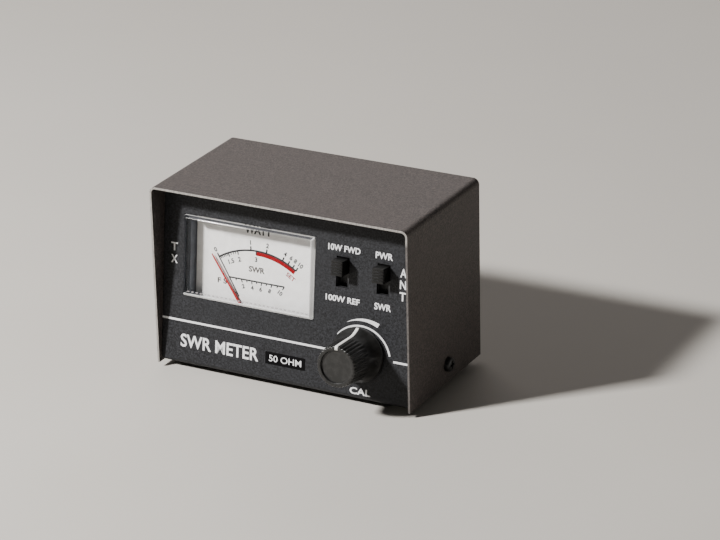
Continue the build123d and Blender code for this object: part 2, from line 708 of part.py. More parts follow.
def pot_terminals():
    """Three solder lugs below the can."""
    lug = block(1.6, 4.0, -CHASSIS_T - 2.8, -CHASSIS_T - 2.2)
    return [
        on_panel(CAL_U + i * LUG_PITCH, CAL_V - POT_R - 3.5) * (lug - rod(0.5, -9, 0))
        for i in (-1, 0, 1)
    ]


def pot_washer():
    return on_panel(CAL_U, CAL_V) * tube(WASHER_R, BUSHING_R + THREAD_GAP, 0, WASHER_T)


def pot_nut():
    nut = hexagon(NUT_AF, WASHER_T, WASHER_T + NUT_T)
    return on_panel(CAL_U, CAL_V) * (nut - rod(BUSHING_R + THREAD_GAP, 0, 9))


def pot_shaft():
    body = rod(SHAFT_R, -CHASSIS_T - 3.0, SHAFT_TIP)
    return on_panel(CAL_U, CAL_V) * chamfer(body.edges().sort_by(Axis.Z)[-1], 0.5)


def pot_wiper():
    """Wiper disc and arm that turn with the shaft inside the can."""
    low = -CHASSIS_T - 4.2
    body = rod(4.2, low, low + 1.2) + Pos(0, 4.0, 0) * block(1.6, 3.6, low, low + 0.4)
    return on_panel(CAL_U, CAL_V) * body


def cal_knob():
    """Moulded knob: flared skirt, fluted grip, dished face, and a cavity over the nut."""
    with BuildSketch(Plane.XZ) as half:
        with BuildLine():
            Polyline(
                (0, KNOB_GAP),
                (KNOB_SKIRT_R, KNOB_GAP),
                (KNOB_SKIRT_R, KNOB_GAP + KNOB_SKIRT_T),
            )
            ThreePointArc(
                (KNOB_SKIRT_R, KNOB_GAP + KNOB_SKIRT_T),
                (
                    KNOB_BODY_R + (KNOB_SKIRT_R - KNOB_BODY_R) * 0.28,
                    KNOB_GAP + KNOB_SKIRT_T + (KNOB_FLARE_TOP - KNOB_GAP - KNOB_SKIRT_T) * 0.36,
                ),
                (KNOB_BODY_R, KNOB_FLARE_TOP),
            )
            Polyline(
                (KNOB_BODY_R, KNOB_FLARE_TOP),
                (KNOB_FACE_R, KNOB_L),
                (KNOB_DISH_R, KNOB_L),
                (KNOB_DISH_R, KNOB_L - KNOB_DISH_T),
                (0, KNOB_L - KNOB_DISH_T),
                (0, KNOB_GAP),
            )
        make_face()
    body = revolve(half.sketch, Axis.Z)
    body -= rod(KNOB_CAVITY_R, 0, KNOB_CAVITY_TOP) + rod(SHAFT_R + THREAD_GAP, 0, SHAFT_TIP + 0.3)
    low = KNOB_FLARE_TOP + 0.6
    lean = degrees(atan2(KNOB_BODY_R - KNOB_FACE_R, KNOB_L - KNOB_FLARE_TOP))
    flute = Rot(0, -lean, 0) * rod(KNOB_FLUTE_R, 0, KNOB_L)
    edge = KNOB_BODY_R + KNOB_FLUTE_R * 0.35
    cutters = [
        Rot(0, 0, 360 / KNOB_FLUTES * (i + 0.5)) * Pos(edge, 0, low) * flute for i in range(KNOB_FLUTES)
    ]
    return on_panel(CAL_U, CAL_V) * (body - cutters)


# ---------------------------------------------------------------- coaxial sockets
def socket_shell(x):
    """Square flange and barrel, with four notches in the rim."""
    plate = fillet(block(FLANGE_W, FLANGE_W, 0, FLANGE_T).edges().filter_by(Axis.Z), FLANGE_CORNER)
    body = plate + chamfer(rod(BARREL_R, FLANGE_T, BARREL_TIP).edges().sort_by(Axis.Z)[-1], 0.3)
    body -= rod(BARREL_BORE_R, -1, BARREL_TIP + 1)
    for turn in (0, 90):
        notch = block(3 * BARREL_R, NOTCH_W, BARREL_TIP - NOTCH_D, BARREL_TIP + 1)
        body -= Rot(0, 0, turn) * notch
    for place in GridLocations(BOLT_SPACING, BOLT_SPACING, 2, 2):
        body -= place * rod(M3_R + CLEAR_GAP, -1, FLANGE_T + 1)
    return on_rear(x, SOCKET_H) * body


def socket_dielectric(x):
    radius = BARREL_BORE_R - DIELECTRIC_GAP
    body = tube(radius, CONTACT_R + DIELECTRIC_GAP, -DIELECTRIC_BACK, BARREL_TIP - DIELECTRIC_DEPTH)
    return on_rear(x, SOCKET_H) * body


def socket_contact(x):
    """Split centre contact with a solder cup that reaches through the coupler board."""
    tip = BARREL_TIP - DIELECTRIC_DEPTH + CONTACT_PROUD
    body = rod(CONTACT_R, -DIELECTRIC_BACK, tip)
    body -= rod(CONTACT_BORE_R, tip - CONTACT_BORE_L, tip + 1)
    for turn in (45, 135):
        slit = block(3 * CONTACT_R, CONTACT_SLIT, tip - CONTACT_SLIT_L, tip + 1)
        body -= Rot(0, 0, turn) * slit
    cup_end = -CHASSIS_T - COUPLER_GAP - CUP_L
    body += rod(CUP_R, cup_end, -DIELECTRIC_BACK)
    body -= rod(CUP_BORE_R, cup_end - 1, cup_end + 3)
    return on_rear(x, SOCKET_H) * body


def socket_screws(x):
    screw = pan_screw(M3_R, M3_HEAD_R, M3_HEAD_H, SOCKET_SCREW_L)
    place = on_rear(x, SOCKET_H, FLANGE_T)
    return [place * spot * screw for spot in GridLocations(BOLT_SPACING, BOLT_SPACING, 2, 2)]


def socket_nuts(x):
    nut = hexagon(NUT3_AF, -CHASSIS_T - NUT3_T, -CHASSIS_T)
    nut -= rod(M3_R + THREAD_GAP, -9, 0)
    place = on_rear(x, SOCKET_H)
    return [place * spot * nut for spot in GridLocations(BOLT_SPACING, BOLT_SPACING, 2, 2)]


# ---------------------------------------------------------------- coupler board
# Its own plane: local Y is up and local Z points forward, away from the sockets.
COUPLER = Plane(origin=(0, COUPLER_FRONT_Y, SOCKET_Z), x_dir=(1, 0, 0), z_dir=(0, -1, 0))


def on_coupler(x, rise, out=0.0):
    return COUPLER.location * Pos(x, rise, out)


def coupler_board():
    body = on_coupler(0, 0) * block(COUPLER_W, COUPLER_H, -BOARD_T, 0)
    for x in (-SOCKET_X, SOCKET_X):
        body -= on_coupler(x, 0) * rod(CUP_R + CUP_GAP, -BOARD_T - 1, 1)
    for rise in (-COUPLER_SPACER_Z, COUPLER_SPACER_Z):
        body -= on_coupler(0, rise) * rod(M25_R + CLEAR_GAP, -BOARD_T - 1, 1)
    return body


def coupler_lines():
    """Main line between the sockets and a shorter pickup line on each side of it."""
    main = block(2 * SOCKET_X + MAIN_STRIP_W, MAIN_STRIP_W, 0, STRIP_T)
    for x in (-SOCKET_X, SOCKET_X):
        main -= Pos(x, 0, 0) * rod(CUP_R + CUP_GAP, -1, 1)
    made = [on_coupler(0, 0) * main]
    for side in (-1, 1):
        made.append(on_coupler(0, side * PICKUP_OFFSET) * block(PICKUP_L, PICKUP_W, 0, STRIP_T))
    return made


def axial_part(radius, length, span, lift=1.6, lead_r=0.25):
    """A body lying along local X above the board, with a bent lead at each end."""
    body = Pos(0, 0, lift) * Rot(0, 90, 0) * Cylinder(radius, length)
    wire = Pos(0, 0, lift) * Rot(0, 90, 0) * Cylinder(lead_r, span)
    for side in (-1, 1):
        wire += Pos(side * (span / 2 - lead_r), 0, 0) * rod(lead_r, 0, lift)
    return body + wire


def detector_diodes():
    return [on_coupler(x, side * 9.5) * axial_part(0.9, 3.8, 9.0) for x, side in ((-14, 1), (14, -1))]


def load_resistors():
    return [on_coupler(x, side * 9.5) * axial_part(1.2, 6.2, 10.5) for x, side in ((14, 1), (-14, -1))]


def bypass_capacitors():
    """Ceramic discs standing on two leads."""
    made = []
    for x, rise in ((-26, 9.5), (26, -9.5)):
        disc = Pos(0, 0, 4.4) * Rot(90, 0, 0) * Cylinder(2.8, 1.6)
        for side in (-1, 1):
            disc += Pos(side * 1.8, 0, 0) * rod(0.25, 0, 3.4)
        made.append(on_coupler(x, rise) * disc)
    return made


def coupler_spacers():
    spacer = hexagon(SPACER_AF, -BOARD_T - COUPLER_GAP, -BOARD_T)
    spacer -= rod(M25_R + THREAD_GAP, -BOARD_T - COUPLER_GAP - 1, 0)
    return [on_coupler(0, rise) * spacer for rise in (-COUPLER_SPACER_Z, COUPLER_SPACER_Z)]


def coupler_screws():
    """Two screws through the board and two through the rear panel, into the same spacers."""
    made = []
    for rise in (-COUPLER_SPACER_Z, COUPLER_SPACER_Z):
        inner = pan_screw(M25_R, M25_HEAD_R, M25_HEAD_H, BOARD_T + 4.0)
        outer = pan_screw(M25_R, M25_HEAD_R, M25_HEAD_H, CHASSIS_T + 4.0)
        made.append(on_coupler(0, rise) * inner)
        made.append(on_rear(0, SOCKET_H + rise) * outer)
    return made


# ---------------------------------------------------------------- wiring
def wire(points):
    """A round wire along straight runs joined by arcs."""
    with BuildLine() as path:
        FilletPolyline(*points, radius=WIRE_BEND)
    start = Plane(origin=path.line @ 0, z_dir=path.line % 0)
    return sweep(start * Circle(WIRE_R), path.line)


def wires():
    """Hook-up wires by name, from the coupler board to the controls and the meter."""
    board_back = -SWITCH_BACK - BOARD_T
    lug_v, lug_back = CAL_V - POT_R - 4.6, -CHASSIS_T - 2.8
    tag_v, tag_mid = TERMINAL_V - TAG_L, -METER_DEPTH - 1.25
    left, right = METER_U - TERMINAL_SPACING / 2, METER_U + TERMINAL_SPACING / 2
    routes = {
        "forward_wire": [
            on_coupler(20.6, PICKUP_OFFSET, STRIP_T),
            on_coupler(20.6, PICKUP_OFFSET, 8),
            on_panel(28.6, 61, board_back - 8),
            on_panel(28.6, 61, board_back),
        ],
        "reflected_wire": [
            on_coupler(18.8, -PICKUP_OFFSET, STRIP_T),
            on_coupler(18.8, -PICKUP_OFFSET, 8),
            on_panel(45.6, 40, board_back - 8),
            on_panel(45.6, 40, board_back),
        ],
        "ground_wire": [
            on_coupler(38, -11, 0),
            on_coupler(38, -11, 9),
            on_panel(CAL_U + LUG_PITCH, lug_v, lug_back - 12),
            on_panel(CAL_U + LUG_PITCH, lug_v, lug_back),
        ],
        "calibration_wire": [
            on_panel(24, 39.6, board_back),
            on_panel(24, 39.6, board_back - 7),
            on_panel(CAL_U - LUG_PITCH, lug_v, lug_back - 12),
            on_panel(CAL_U - LUG_PITCH, lug_v, lug_back),
        ],
        "meter_negative_wire": [
            on_panel(left, tag_v, tag_mid),
            on_panel(left, tag_v - 6, tag_mid),
            on_coupler(-38, -11, 7),
            on_coupler(-38, -11, 0),
        ],
        "meter_positive_wire": [
            on_panel(right, tag_v, tag_mid),
            on_panel(right, tag_v - 6.5, tag_mid - 0.25),
            on_panel(19, tag_v - 6.5, tag_mid - 0.25),
            on_panel(37.5, 39.4, board_back - 8),
            on_panel(37.5, 39.4, board_back),
        ],
    }
    return {name: wire([tuple(place.position) for place in route]) for name, route in routes.items()}


# ---------------------------------------------------------------- the object
def main():
    os.makedirs("parts", exist_ok=True)
    write("chassis", chassis())
    write("top_cover", cover())
    write("side_screws", *side_screws())
    write("rubber_feet", *feet())

    write("meter_window", meter_window())
    write("meter_case", meter_case())
    write("meter_dial", meter_dial())
    write("dial_screws", *dial_screws())
    write("meter_yoke", movement_frame())
    write("core_magnet", core_magnet())
    write("core_spacers", *core_spacers())
    write("meter_bridges", *bridges())
    write("jewel_screws", *jewel_screws())
    write("hairspring", hairspring())
    write("moving_coil", moving_coil())
    write("meter_pointer", pointer())
    write("balance_weights", *balance_weights())
    write("meter_terminals", *meter_terminals())
    write("clip_studs", *clip_studs())
    write("meter_clips", *meter_clips())
    write("clip_nuts", *clip_nuts())

    for name, u in zip(("range_switch", "function_switch"), SWITCH_U):
        write(f"{name}_body", switch_body(u))
        write(f"{name}_slider", switch_slider(u))
        write(f"{name}_pins", *switch_pins(u))
    write("control_board", control_board())
    write("control_board_spacers", *control_spacers())
    write("control_board_screws", *control_screws())

    write("cal_pot_body", pot_body())
    write("cal_pot_terminals", *pot_terminals())
    write("cal_pot_washer", pot_washer())
    write("cal_pot_nut", pot_nut())
    write("cal_pot_shaft", pot_shaft())
    write("cal_pot_wiper", pot_wiper())
    write("cal_knob", cal_knob())

    for name, x in (("transmitter", -SOCKET_X), ("antenna", SOCKET_X)):
        write(f"{name}_socket_shell", socket_shell(x))
        write(f"{name}_socket_dielectric", socket_dielectric(x))
        write(f"{name}_socket_contact", socket_contact(x))
        write(f"{name}_socket_screws", *socket_screws(x))
        write(f"{name}_socket_nuts", *socket_nuts(x))
    write("coupler_board", coupler_board())
    write("coupler_lines", *coupler_lines())
    write("detector_diodes", *detector_diodes())
    write("load_resistors", *load_resistors())
    write("bypass_capacitors", *bypass_capacitors())
    write("coupler_spacers", *coupler_spacers())
    write("coupler_screws", *coupler_screws())
    for name, solid in wires().items():
        write(name, solid)


main()
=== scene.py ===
"""Looks of a desk-top SWR and power meter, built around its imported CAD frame.

Lengths inside a piece are in millimetres and its place matrix brings them to the frame's metres.
The panel's own coordinates are U to the right, V up its slope from its foot, and out from its face.
"""

import json
from math import cos, hypot, pi, radians, sin, tan

import bmesh
import bpy
from mathutils import Matrix, Vector


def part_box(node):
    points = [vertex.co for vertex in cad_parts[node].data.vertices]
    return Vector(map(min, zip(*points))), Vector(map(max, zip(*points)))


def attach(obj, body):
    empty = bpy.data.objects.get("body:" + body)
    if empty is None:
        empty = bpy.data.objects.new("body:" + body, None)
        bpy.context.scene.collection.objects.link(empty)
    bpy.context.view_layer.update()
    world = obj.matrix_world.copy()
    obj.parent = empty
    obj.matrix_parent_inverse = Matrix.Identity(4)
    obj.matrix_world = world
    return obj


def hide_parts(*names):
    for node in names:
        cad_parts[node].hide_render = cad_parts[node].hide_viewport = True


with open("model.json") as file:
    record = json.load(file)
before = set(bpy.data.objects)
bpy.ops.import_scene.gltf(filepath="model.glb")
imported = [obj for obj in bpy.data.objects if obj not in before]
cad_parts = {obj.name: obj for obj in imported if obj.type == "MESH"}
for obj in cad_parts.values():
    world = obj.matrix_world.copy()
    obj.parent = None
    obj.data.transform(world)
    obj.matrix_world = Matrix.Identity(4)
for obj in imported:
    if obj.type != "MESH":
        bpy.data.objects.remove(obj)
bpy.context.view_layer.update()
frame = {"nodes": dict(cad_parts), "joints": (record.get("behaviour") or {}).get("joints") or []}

MM = 0.001
NODES = frame["nodes"]
JOINTS = {joint["name"]: joint for joint in frame["joints"]}

# ---------------------------------------------------------------- places taken from the frame
PIVOT_U, PIVOT_V, PIVOT_OUT = -16.5, 18.0, -5.5  # the needle's pivot on the panel
KNOB_U, KNOB_V = 31.8, 18.5
SLIDERS = (("range", 23.8), ("function", 41.0))
SLIDER_V = 51.9
WINDOW_V = 44.7
DIAL_OUT = -6.5  # the dial's face
PANEL_WALL_U = 54.2  # inner faces of the cover's sides

ACROSS = Vector((1, 0, 0))
PANEL_OUT = -Vector(JOINTS["needle_swing"]["axis"])
PANEL_UP = PANEL_OUT.cross(ACROSS)
PANEL_FOOT = Vector(JOINTS["needle_swing"]["pos_m"])
PANEL_FOOT = PANEL_FOOT - MM * (PIVOT_U * ACROSS + PIVOT_V * PANEL_UP + PIVOT_OUT * PANEL_OUT)


def placed(x_axis, y_axis, z_axis, origin):
    """A matrix from a piece's own millimetres to the frame's metres."""
    turn = Matrix((x_axis, y_axis, z_axis)).transposed().to_4x4()
    return Matrix.Translation(origin) @ turn @ Matrix.Scale(MM, 4)


PANEL = placed(ACROSS, PANEL_UP, PANEL_OUT, PANEL_FOOT)


def on_panel(u, v, out=0.0, turn=0.0):
    """A place on the panel, turned anticlockwise by some degrees as seen from the front."""
    return PANEL @ Matrix.Translation((u, v, out)) @ Matrix.Rotation(radians(turn), 4, "Z")


# ---------------------------------------------------------------- camera, floor and light
LENS = 156.44  # focal length in millimetres
AZIMUTH, ELEVATION, ROLL = radians(28.488), radians(22.685), radians(-1.328)
EYE = Vector((0.543016, -0.964358, 0.501666))
LIT_POINT = Vector((0, 0, 0.035))  # what every light is aimed at


def add_camera():
    """The camera stands at the front right and looks down at the object, a little rolled."""
    flat = cos(ELEVATION)
    back = Vector((sin(AZIMUTH) * flat, -cos(AZIMUTH) * flat, sin(ELEVATION)))
    level = Vector((cos(AZIMUTH), sin(AZIMUTH), 0))
    upright = back.cross(level)
    right = cos(ROLL) * level + sin(ROLL) * upright
    up = cos(ROLL) * upright - sin(ROLL) * level
    data = bpy.data.cameras.new("camera")
    data.sensor_width = 36
    data.lens = LENS
    data.clip_start, data.clip_end = 0.05, 20
    camera = bpy.data.objects.new("camera", data)
    camera.matrix_world = Matrix.Translation(EYE) @ Matrix((right, up, back)).transposed().to_4x4()
    bpy.context.scene.collection.objects.link(camera)
    bpy.context.scene.camera = camera


def add_light(name, direction, distance, size, power, colour):
    """A soft rectangular light that shines from a direction at the object's middle."""
    data = bpy.data.lights.new(name, "AREA")
    data.shape = "RECTANGLE"
    data.size, data.size_y = size
    data.energy = power
    data.color = colour
    lamp = bpy.data.objects.new(name, data)
    away = Vector(direction).normalized()
    lamp.rotation_mode = "QUATERNION"
    lamp.rotation_quaternion = away.to_track_quat("Z", "Y")
    lamp.location = LIT_POINT + away * distance
    bpy.context.scene.collection.objects.link(lamp)


def add_lights():
    """A hard key from the upper left front, a glow over the top, a fill at the right."""
    key = -0.80 * ACROSS + 0.80 * PANEL_UP + 1.0 * PANEL_OUT
    add_light("key_light", key, 1.3, (0.12, 0.12), 44, (1.0, 0.985, 0.97))
    add_light("top_glow", (-0.44, 0.81, 0.42), 1.6, (1.6, 0.8), 9, (1.0, 0.93, 0.9))
    add_light("side_fill", (1.0, 0.3, 0.06), 1.8, (0.8, 0.6), 7.5, (1.0, 0.96, 0.88))
    world = bpy.data.worlds.new("studio")
    world.use_nodes = True
    sky = world.node_tree.nodes["Background"]
    sky.inputs["Color"].default_value = (0.83, 0.82, 0.81, 1)
    sky.inputs["Strength"].default_value = 0.05
    bpy.context.scene.world = world


# ---------------------------------------------------------------- shader words
class Term:
    """A node's output, or a plain number, that works in Python expressions."""

    def __init__(self, tree, socket):
        self.tree = tree
        self.socket = socket

    def maths(self, operation, *values):
        return self.tree.node("ShaderNodeMath", {"operation": operation}, dict(enumerate(values)))

    def __add__(self, other):
        return self.maths("ADD", self, other)

    def __sub__(self, other):
        return self.maths("SUBTRACT", self, other)

    def __mul__(self, other):
        return self.maths("MULTIPLY", self, other)

    def __truediv__(self, other):
        return self.maths("DIVIDE", self, other)

    def __radd__(self, other):
        return self.maths("ADD", other, self)

    def __rsub__(self, other):
        return self.maths("SUBTRACT", other, self)

    def __rmul__(self, other):
        return self.maths("MULTIPLY", other, self)

    def __lt__(self, other):
        return self.maths("LESS_THAN", self, other)

    def __gt__(self, other):
        return self.maths("GREATER_THAN", self, other)

    def __mod__(self, other):
        return self.maths("FLOORED_MODULO", self, other)

    def size(self):
        return self.maths("ABSOLUTE", self)

    def softly(self, low, high):
        """0 below low, 1 above high and smooth between."""
        settings = {"interpolation_type": "SMOOTHSTEP"}
        return self.tree.node(
            "ShaderNodeMapRange", settings, {"Value": self, "From Min": low, "From Max": high}
        )


class Finish:
    """A material under construction: a node tree with one principled shader."""

    def __init__(self, name):
        self.material = bpy.data.materials.new(name)
        self.material.use_nodes = True
        self.nodes = self.material.node_tree.nodes
        self.links = self.material.node_tree.links
        self.shader = self.nodes["Principled BSDF"]

    def node(self, kind, settings=None, values=None, output=0):
        """Adds a node, sets it up, fills or links its sockets and gives one of its outputs."""
        made = self.nodes.new(kind)
        for key, value in (settings or {}).items():
            setattr(made, key, value)
        for key, value in (values or {}).items():
            self.fill(made.inputs[key], value)
        return Term(self, made.outputs[output])

    def fill(self, socket, value):
        if isinstance(value, Term):
            self.links.new(value.socket, socket)
        elif isinstance(value, tuple) and len(value) == 3 and len(socket.default_value) == 4:
            socket.default_value = (*value, 1)
        else:
            socket.default_value = value

    def set(self, **values):
        """Fills the shader's sockets, whose names are written with underscores."""
        for key, value in values.items():
            self.fill(self.shader.inputs[key.replace("_", " ")], value)
        return self.material

    def place(self):
        return self.node("ShaderNodeTexCoord", output="Object")

    def axes(self, place):
        """The X, Y and Z of a place."""
        split = self.node("ShaderNodeSeparateXYZ", None, {0: place}).socket.node
        return [Term(self, out) for out in split.outputs]

    def noise(self, place, grain, detail=3.0, roughness=0.55, stretch=None):
        """Cloudy noise from 0 to 1, whose blotches are about one grain, in millimetres, across."""
        if stretch:
            place = self.node(
                "ShaderNodeVectorMath", {"operation": "MULTIPLY"}, {0: place, 1: stretch}
            )
        scale = 1 / (grain * MM)
        values = {"Vector": place, "Scale": scale, "Detail": detail, "Roughness": roughness}
        return self.node("ShaderNodeTexNoise", None, values)

    def cells(self, place, grain):
        """Distance from the middles of scattered cells, about one grain across."""
        return self.node("ShaderNodeTexVoronoi", None, {"Vector": place, "Scale": 1 / (grain * MM)})

    def blend(self, share, first, second):
        """A colour between two colours."""
        values = {0: share, 6: first, 7: second}
        return self.node("ShaderNodeMix", {"data_type": "RGBA"}, values, 2)

    def bump(self, height, depth):
        """A bumped normal from a height of 0 to 1 that stands for a depth in millimetres."""
        return self.node("ShaderNodeBump", None, {"Height": height, "Distance": depth * MM})


def shade(colour, factor):
    """A colour made lighter or darker."""
    return tuple(min(1.0, c * factor) for c in colour)


# ---------------------------------------------------------------- finishes
EDGE_SKIN = 0.03 * MM  # how close to the sheet's end still counts as its cut edge
COUPLER_X = 14 * MM  # the coupler's diodes and resistors lie this far either side of the middle


def textured_enamel(name, colour, gloss, has_bare_edges=False):
    """Fine-grained stove enamel on sheet steel."""
    finish = Finish(name)
    place = finish.place()
    grain = finish.noise(place, 0.74, 3.0, 0.75)
    speck = finish.cells(place, 0.8)
    cloud = finish.noise(place, 16.0, 3.0)
    tone = finish.blend(grain.softly(0.38, 0.64), shade(colour, 0.42), shade(colour, 1.75))
    tone = finish.blend(cloud.softly(0.35, 0.7) * 0.35, tone, shade(colour, 1.18))
    rough = 0.46 + grain * 0.22 + cloud * 0.04
    dimples = finish.bump(grain * 0.7 + speck * 0.3, 0.17)
    finish.set(Specular_IOR_Level=gloss, Normal=dimples)
    if not has_bare_edges:
        return finish.set(Base_Color=tone, Roughness=rough)
    # bare steel on the cut edges, held back on the right wall, where painted shade darkens them
    bare_metal_less_shade = sheared_ends(finish, place)
    scratch = finish.noise(place, 0.5, 4.0, 0.7, (1.0, 1.0, 0.15))
    metal = finish.blend(scratch.softly(0.3, 0.75), (0.29, 0.28, 0.27), (0.53, 0.51, 0.485))
    return finish.set(
        Base_Color=finish.blend(bare_metal_less_shade, tone, metal),
        Metallic=bare_metal_less_shade * 0.75,
        Roughness=rough - bare_metal_less_shade * 0.18,
    )


def sheared_ends(finish, place):
    """1 on the cover's two cut edges, and less on its right wall below the top sheet, where painted
    shade dulls them towards the enamel.
    """
    low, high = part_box("top_cover")
    across, along, upward = finish.axes(place)
    right_wall = across.softly(high.x - 2.5 * MM, high.x - 1.0 * MM)
    top_sheet = upward.softly(high.z - 6.5 * MM, high.z - 3.5 * MM)
    # painted shade: the right wall's cut edges mostly take the enamel's darker colour instead of
    # bright bare steel
    right_edge_painted_shade = right_wall * (1 - top_sheet) * 0.85
    cut = (along < (low.y + EDGE_SKIN)) + (along > (high.y - EDGE_SKIN))
    return cut * (1 - right_edge_painted_shade)


def moulded_plastic(name, colour, roughness, grain=0.25, depth=0.006, gloss=0.5):
    """Moulded plastic with a fine spark-eroded texture and handling marks."""
    finish = Finish(name)
    place = finish.place()
    fine = finish.noise(place, grain, 3.0, 0.6)
    cloud = finish.noise(place, 5.0, 3.0)
    tone = finish.blend(cloud.softly(0.3, 0.7), shade(colour, 0.85), shade(colour, 1.25))
    rough = (roughness - 0.06) + fine * 0.08 + cloud * 0.06
    return finish.set(
        Base_Color=tone, Roughness=rough, Specular_IOR_Level=gloss, Normal=finish.bump(fine, depth)
    )


def knob_plastic():
    """Black phenolic, polished, with a slight ring pattern from the polishing wheel."""
    finish = Finish("polished_black_phenolic")
    place = finish.place()
    fine = finish.noise(place, 0.3, 3.0, 0.6)
    haze = finish.noise(place, 2.2, 4.0, 0.6)
    tone = finish.blend(haze.softly(0.35, 0.7), (0.008, 0.008, 0.0075), (0.018, 0.0175, 0.017))
    rough = 0.24 + haze * 0.16 + fine * 0.05
    return finish.set(
        Base_Color=tone, Roughness=rough, Specular_IOR_Level=0.45, Normal=finish.bump(fine, 0.004)
    )


def rubber():
    """Black rubber with a little dust."""
    finish = Finish("black_rubber")
    place = finish.place()
    fine = finish.noise(place, 0.4, 4.0, 0.65)
    dust = finish.noise(place, 3.0, 4.0, 0.6)
    tone = finish.blend(dust.softly(0.5, 0.8), (0.022, 0.022, 0.022), (0.06, 0.058, 0.055))
    rough = 0.72 + fine * 0.2
    return finish.set(Base_Color=tone, Roughness=rough, Normal=finish.bump(fine, 0.02))


def turned_metal(name, colour, roughness, streak=(1.0, 1.0, 1.0), tarnish=0.25, metallic=1.0):
    """Machined or plated metal: fine streaks, uneven polish and a little tarnish."""
    finish = Finish(name)
    place = finish.place()
    fine = finish.noise(place, 0.22, 3.0, 0.6, streak)
    stain = finish.noise(place, 2.6, 4.0, 0.6)
    dull = stain.softly(0.45, 0.8) * tarnish
    tone = finish.blend(dull, colour, shade(colour, 0.45))
    rough = roughness + fine * 0.14 + dull * 0.3
    return finish.set(
        Base_Color=tone, Metallic=metallic, Roughness=rough, Normal=finish.bump(fine, 0.004)
    )


def printing_ink(name, colour, thin, gloss=0.25):
    """Screen-printed ink: nearly opaque, with pinholes and soft uneven cover."""
    finish = Finish(name)
    place = finish.place()
    patch = finish.noise(place, 0.5, 3.0, 0.6)
    tone = finish.blend(patch.softly(0.3, 0.75), shade(colour, 1 - thin), colour)
    rough = 0.5 + patch * 0.2
    return finish.set(
        Base_Color=tone, Roughness=rough, Specular_IOR_Level=gloss, Normal=finish.bump(patch, 0.006)
    )


def dial_paper():
    """White lacquered dial plate with a faint warm mottle."""
    finish = Finish("dial_lacquer")
    place = finish.place()
    mottle = finish.noise(place, 3.5, 4.0, 0.6)
    fine = finish.noise(place, 0.3, 2.0, 0.5)
    tone = finish.blend(mottle.softly(0.35, 0.7), (0.80, 0.79, 0.77), (0.87, 0.865, 0.85))
    rough = 0.42 + fine * 0.12
    return finish.set(Base_Color=tone, Roughness=rough, Normal=finish.bump(fine, 0.002))


def clear_face():
    """The flat of the window: thin clear plastic that lets the dial be seen and lit."""
    finish = Finish("clear_window_face")
    place = finish.place()
    haze = finish.noise(place, 2.0, 4.0, 0.6)
    rim = finish.node("ShaderNodeLayerWeight", None, {"Blend": 0.2}, output="Fresnel")
    return finish.set(
        Base_Color=finish.blend(haze, (0.2, 0.2, 0.2), (0.3, 0.3, 0.3)),
        Roughness=0.04 + haze * 0.05,
        Alpha=0.006 + rim * 0.2 + haze * 0.004,
    )


def clear_border(name, colour, alpha):
    """The bevelled border of the window: clear plastic given a colour and opacity of its own, with
    a faint haze; the whitish ones are painted light and the dark top wall is painted shade.
    """
    finish = Finish(name)
    place = finish.place()
    haze = finish.noise(place, 0.9, 4.0, 0.6)
    return finish.set(
        Base_Color=finish.blend(haze, shade(colour, 0.92), colour),
        Roughness=0.06 + haze * 0.1,
        Alpha=alpha + haze * 0.06,
        Specular_IOR_Level=0.6,
    )


def top_fold():
    """The fold inside the window's top border: a painted highlight, whitest over the border's left
    half, then clearing.
    """
    finish = Finish("window_top_fold_painted_highlight")
    place = finish.place()
    across, _, _ = finish.axes(place)
    haze = finish.noise(place, 0.9, 4.0, 0.6)
    # painted highlight: a whiter band over the left half of the top fold
    painted_highlight_band = across.softly(-0.041, -0.033) - across.softly(-0.027, -0.008)
    return finish.set(
        Base_Color=finish.blend(haze, (0.80, 0.79, 0.75), (0.92, 0.90, 0.86)),
        Roughness=0.06 + haze * 0.1,
        Alpha=0.06 + painted_highlight_band * 0.5 + haze * 0.06,
        Specular_IOR_Level=0.6,
    )


def laminate(name, colour):
    """Phenolic paper board with its long fibres and a resin gloss."""
    finish = Finish(name)
    place = finish.place()
    fibre = finish.noise(place, 0.5, 4.0, 0.6, (0.2, 1.0, 1.0))
    cloud = finish.noise(place, 6.0, 3.0)
    tone = finish.blend(fibre.softly(0.35, 0.7), shade(colour, 0.75), shade(colour, 1.2))
    tone = finish.blend(cloud * 0.4, tone, shade(colour, 0.8))
    rough = 0.32 + fibre * 0.18
    return finish.set(Base_Color=tone, Roughness=rough, Normal=finish.bump(fibre, 0.006))


def enamelled_winding():
    """Side-by-side turns of fine varnished copper wire."""
    finish = Finish("varnished_copper_winding")
    place = finish.place()
    _, along, _ = finish.axes(place)
    wire = 0.12 * MM
    turn = ((along / wire) % 1.0 - 0.5).size() * 2
    tone = finish.blend(turn, (0.50, 0.20, 0.09), (0.24, 0.08, 0.035))
    rough = 0.34 + turn * 0.15
    return finish.set(
        Base_Color=tone, Metallic=0.8, Roughness=rough, Normal=finish.bump(1 - turn, 0.03)
    )


def tinned_lead(finish, grain):
    """The colour of the tinned wire that a small part hangs on."""
    return finish.blend(grain, (0.5, 0.5, 0.5), (0.75, 0.75, 0.73))


def banded_resistor():
    """Lacquered body with colour rings across it and tinned leads."""
    finish = Finish("resistor_lacquer")
    place = finish.place()
    across, _, _ = finish.axes(place)
    ring_pitch, ring_width, half_length = 1.4 * MM, 0.55 * MM, 3.1 * MM
    from_middle = (across.size() - COUPLER_X).size()
    ring = (from_middle % ring_pitch) < ring_width
    body = from_middle < half_length
    tone = finish.blend(ring, (0.62, 0.47, 0.28), (0.30, 0.09, 0.04))
    lead = finish.noise(place, 0.4, 3.0)
    tone = finish.blend(body, tinned_lead(finish, lead), tone)
    return finish.set(Base_Color=tone, Metallic=0.9 - body * 0.9, Roughness=0.38 + lead * 0.1)


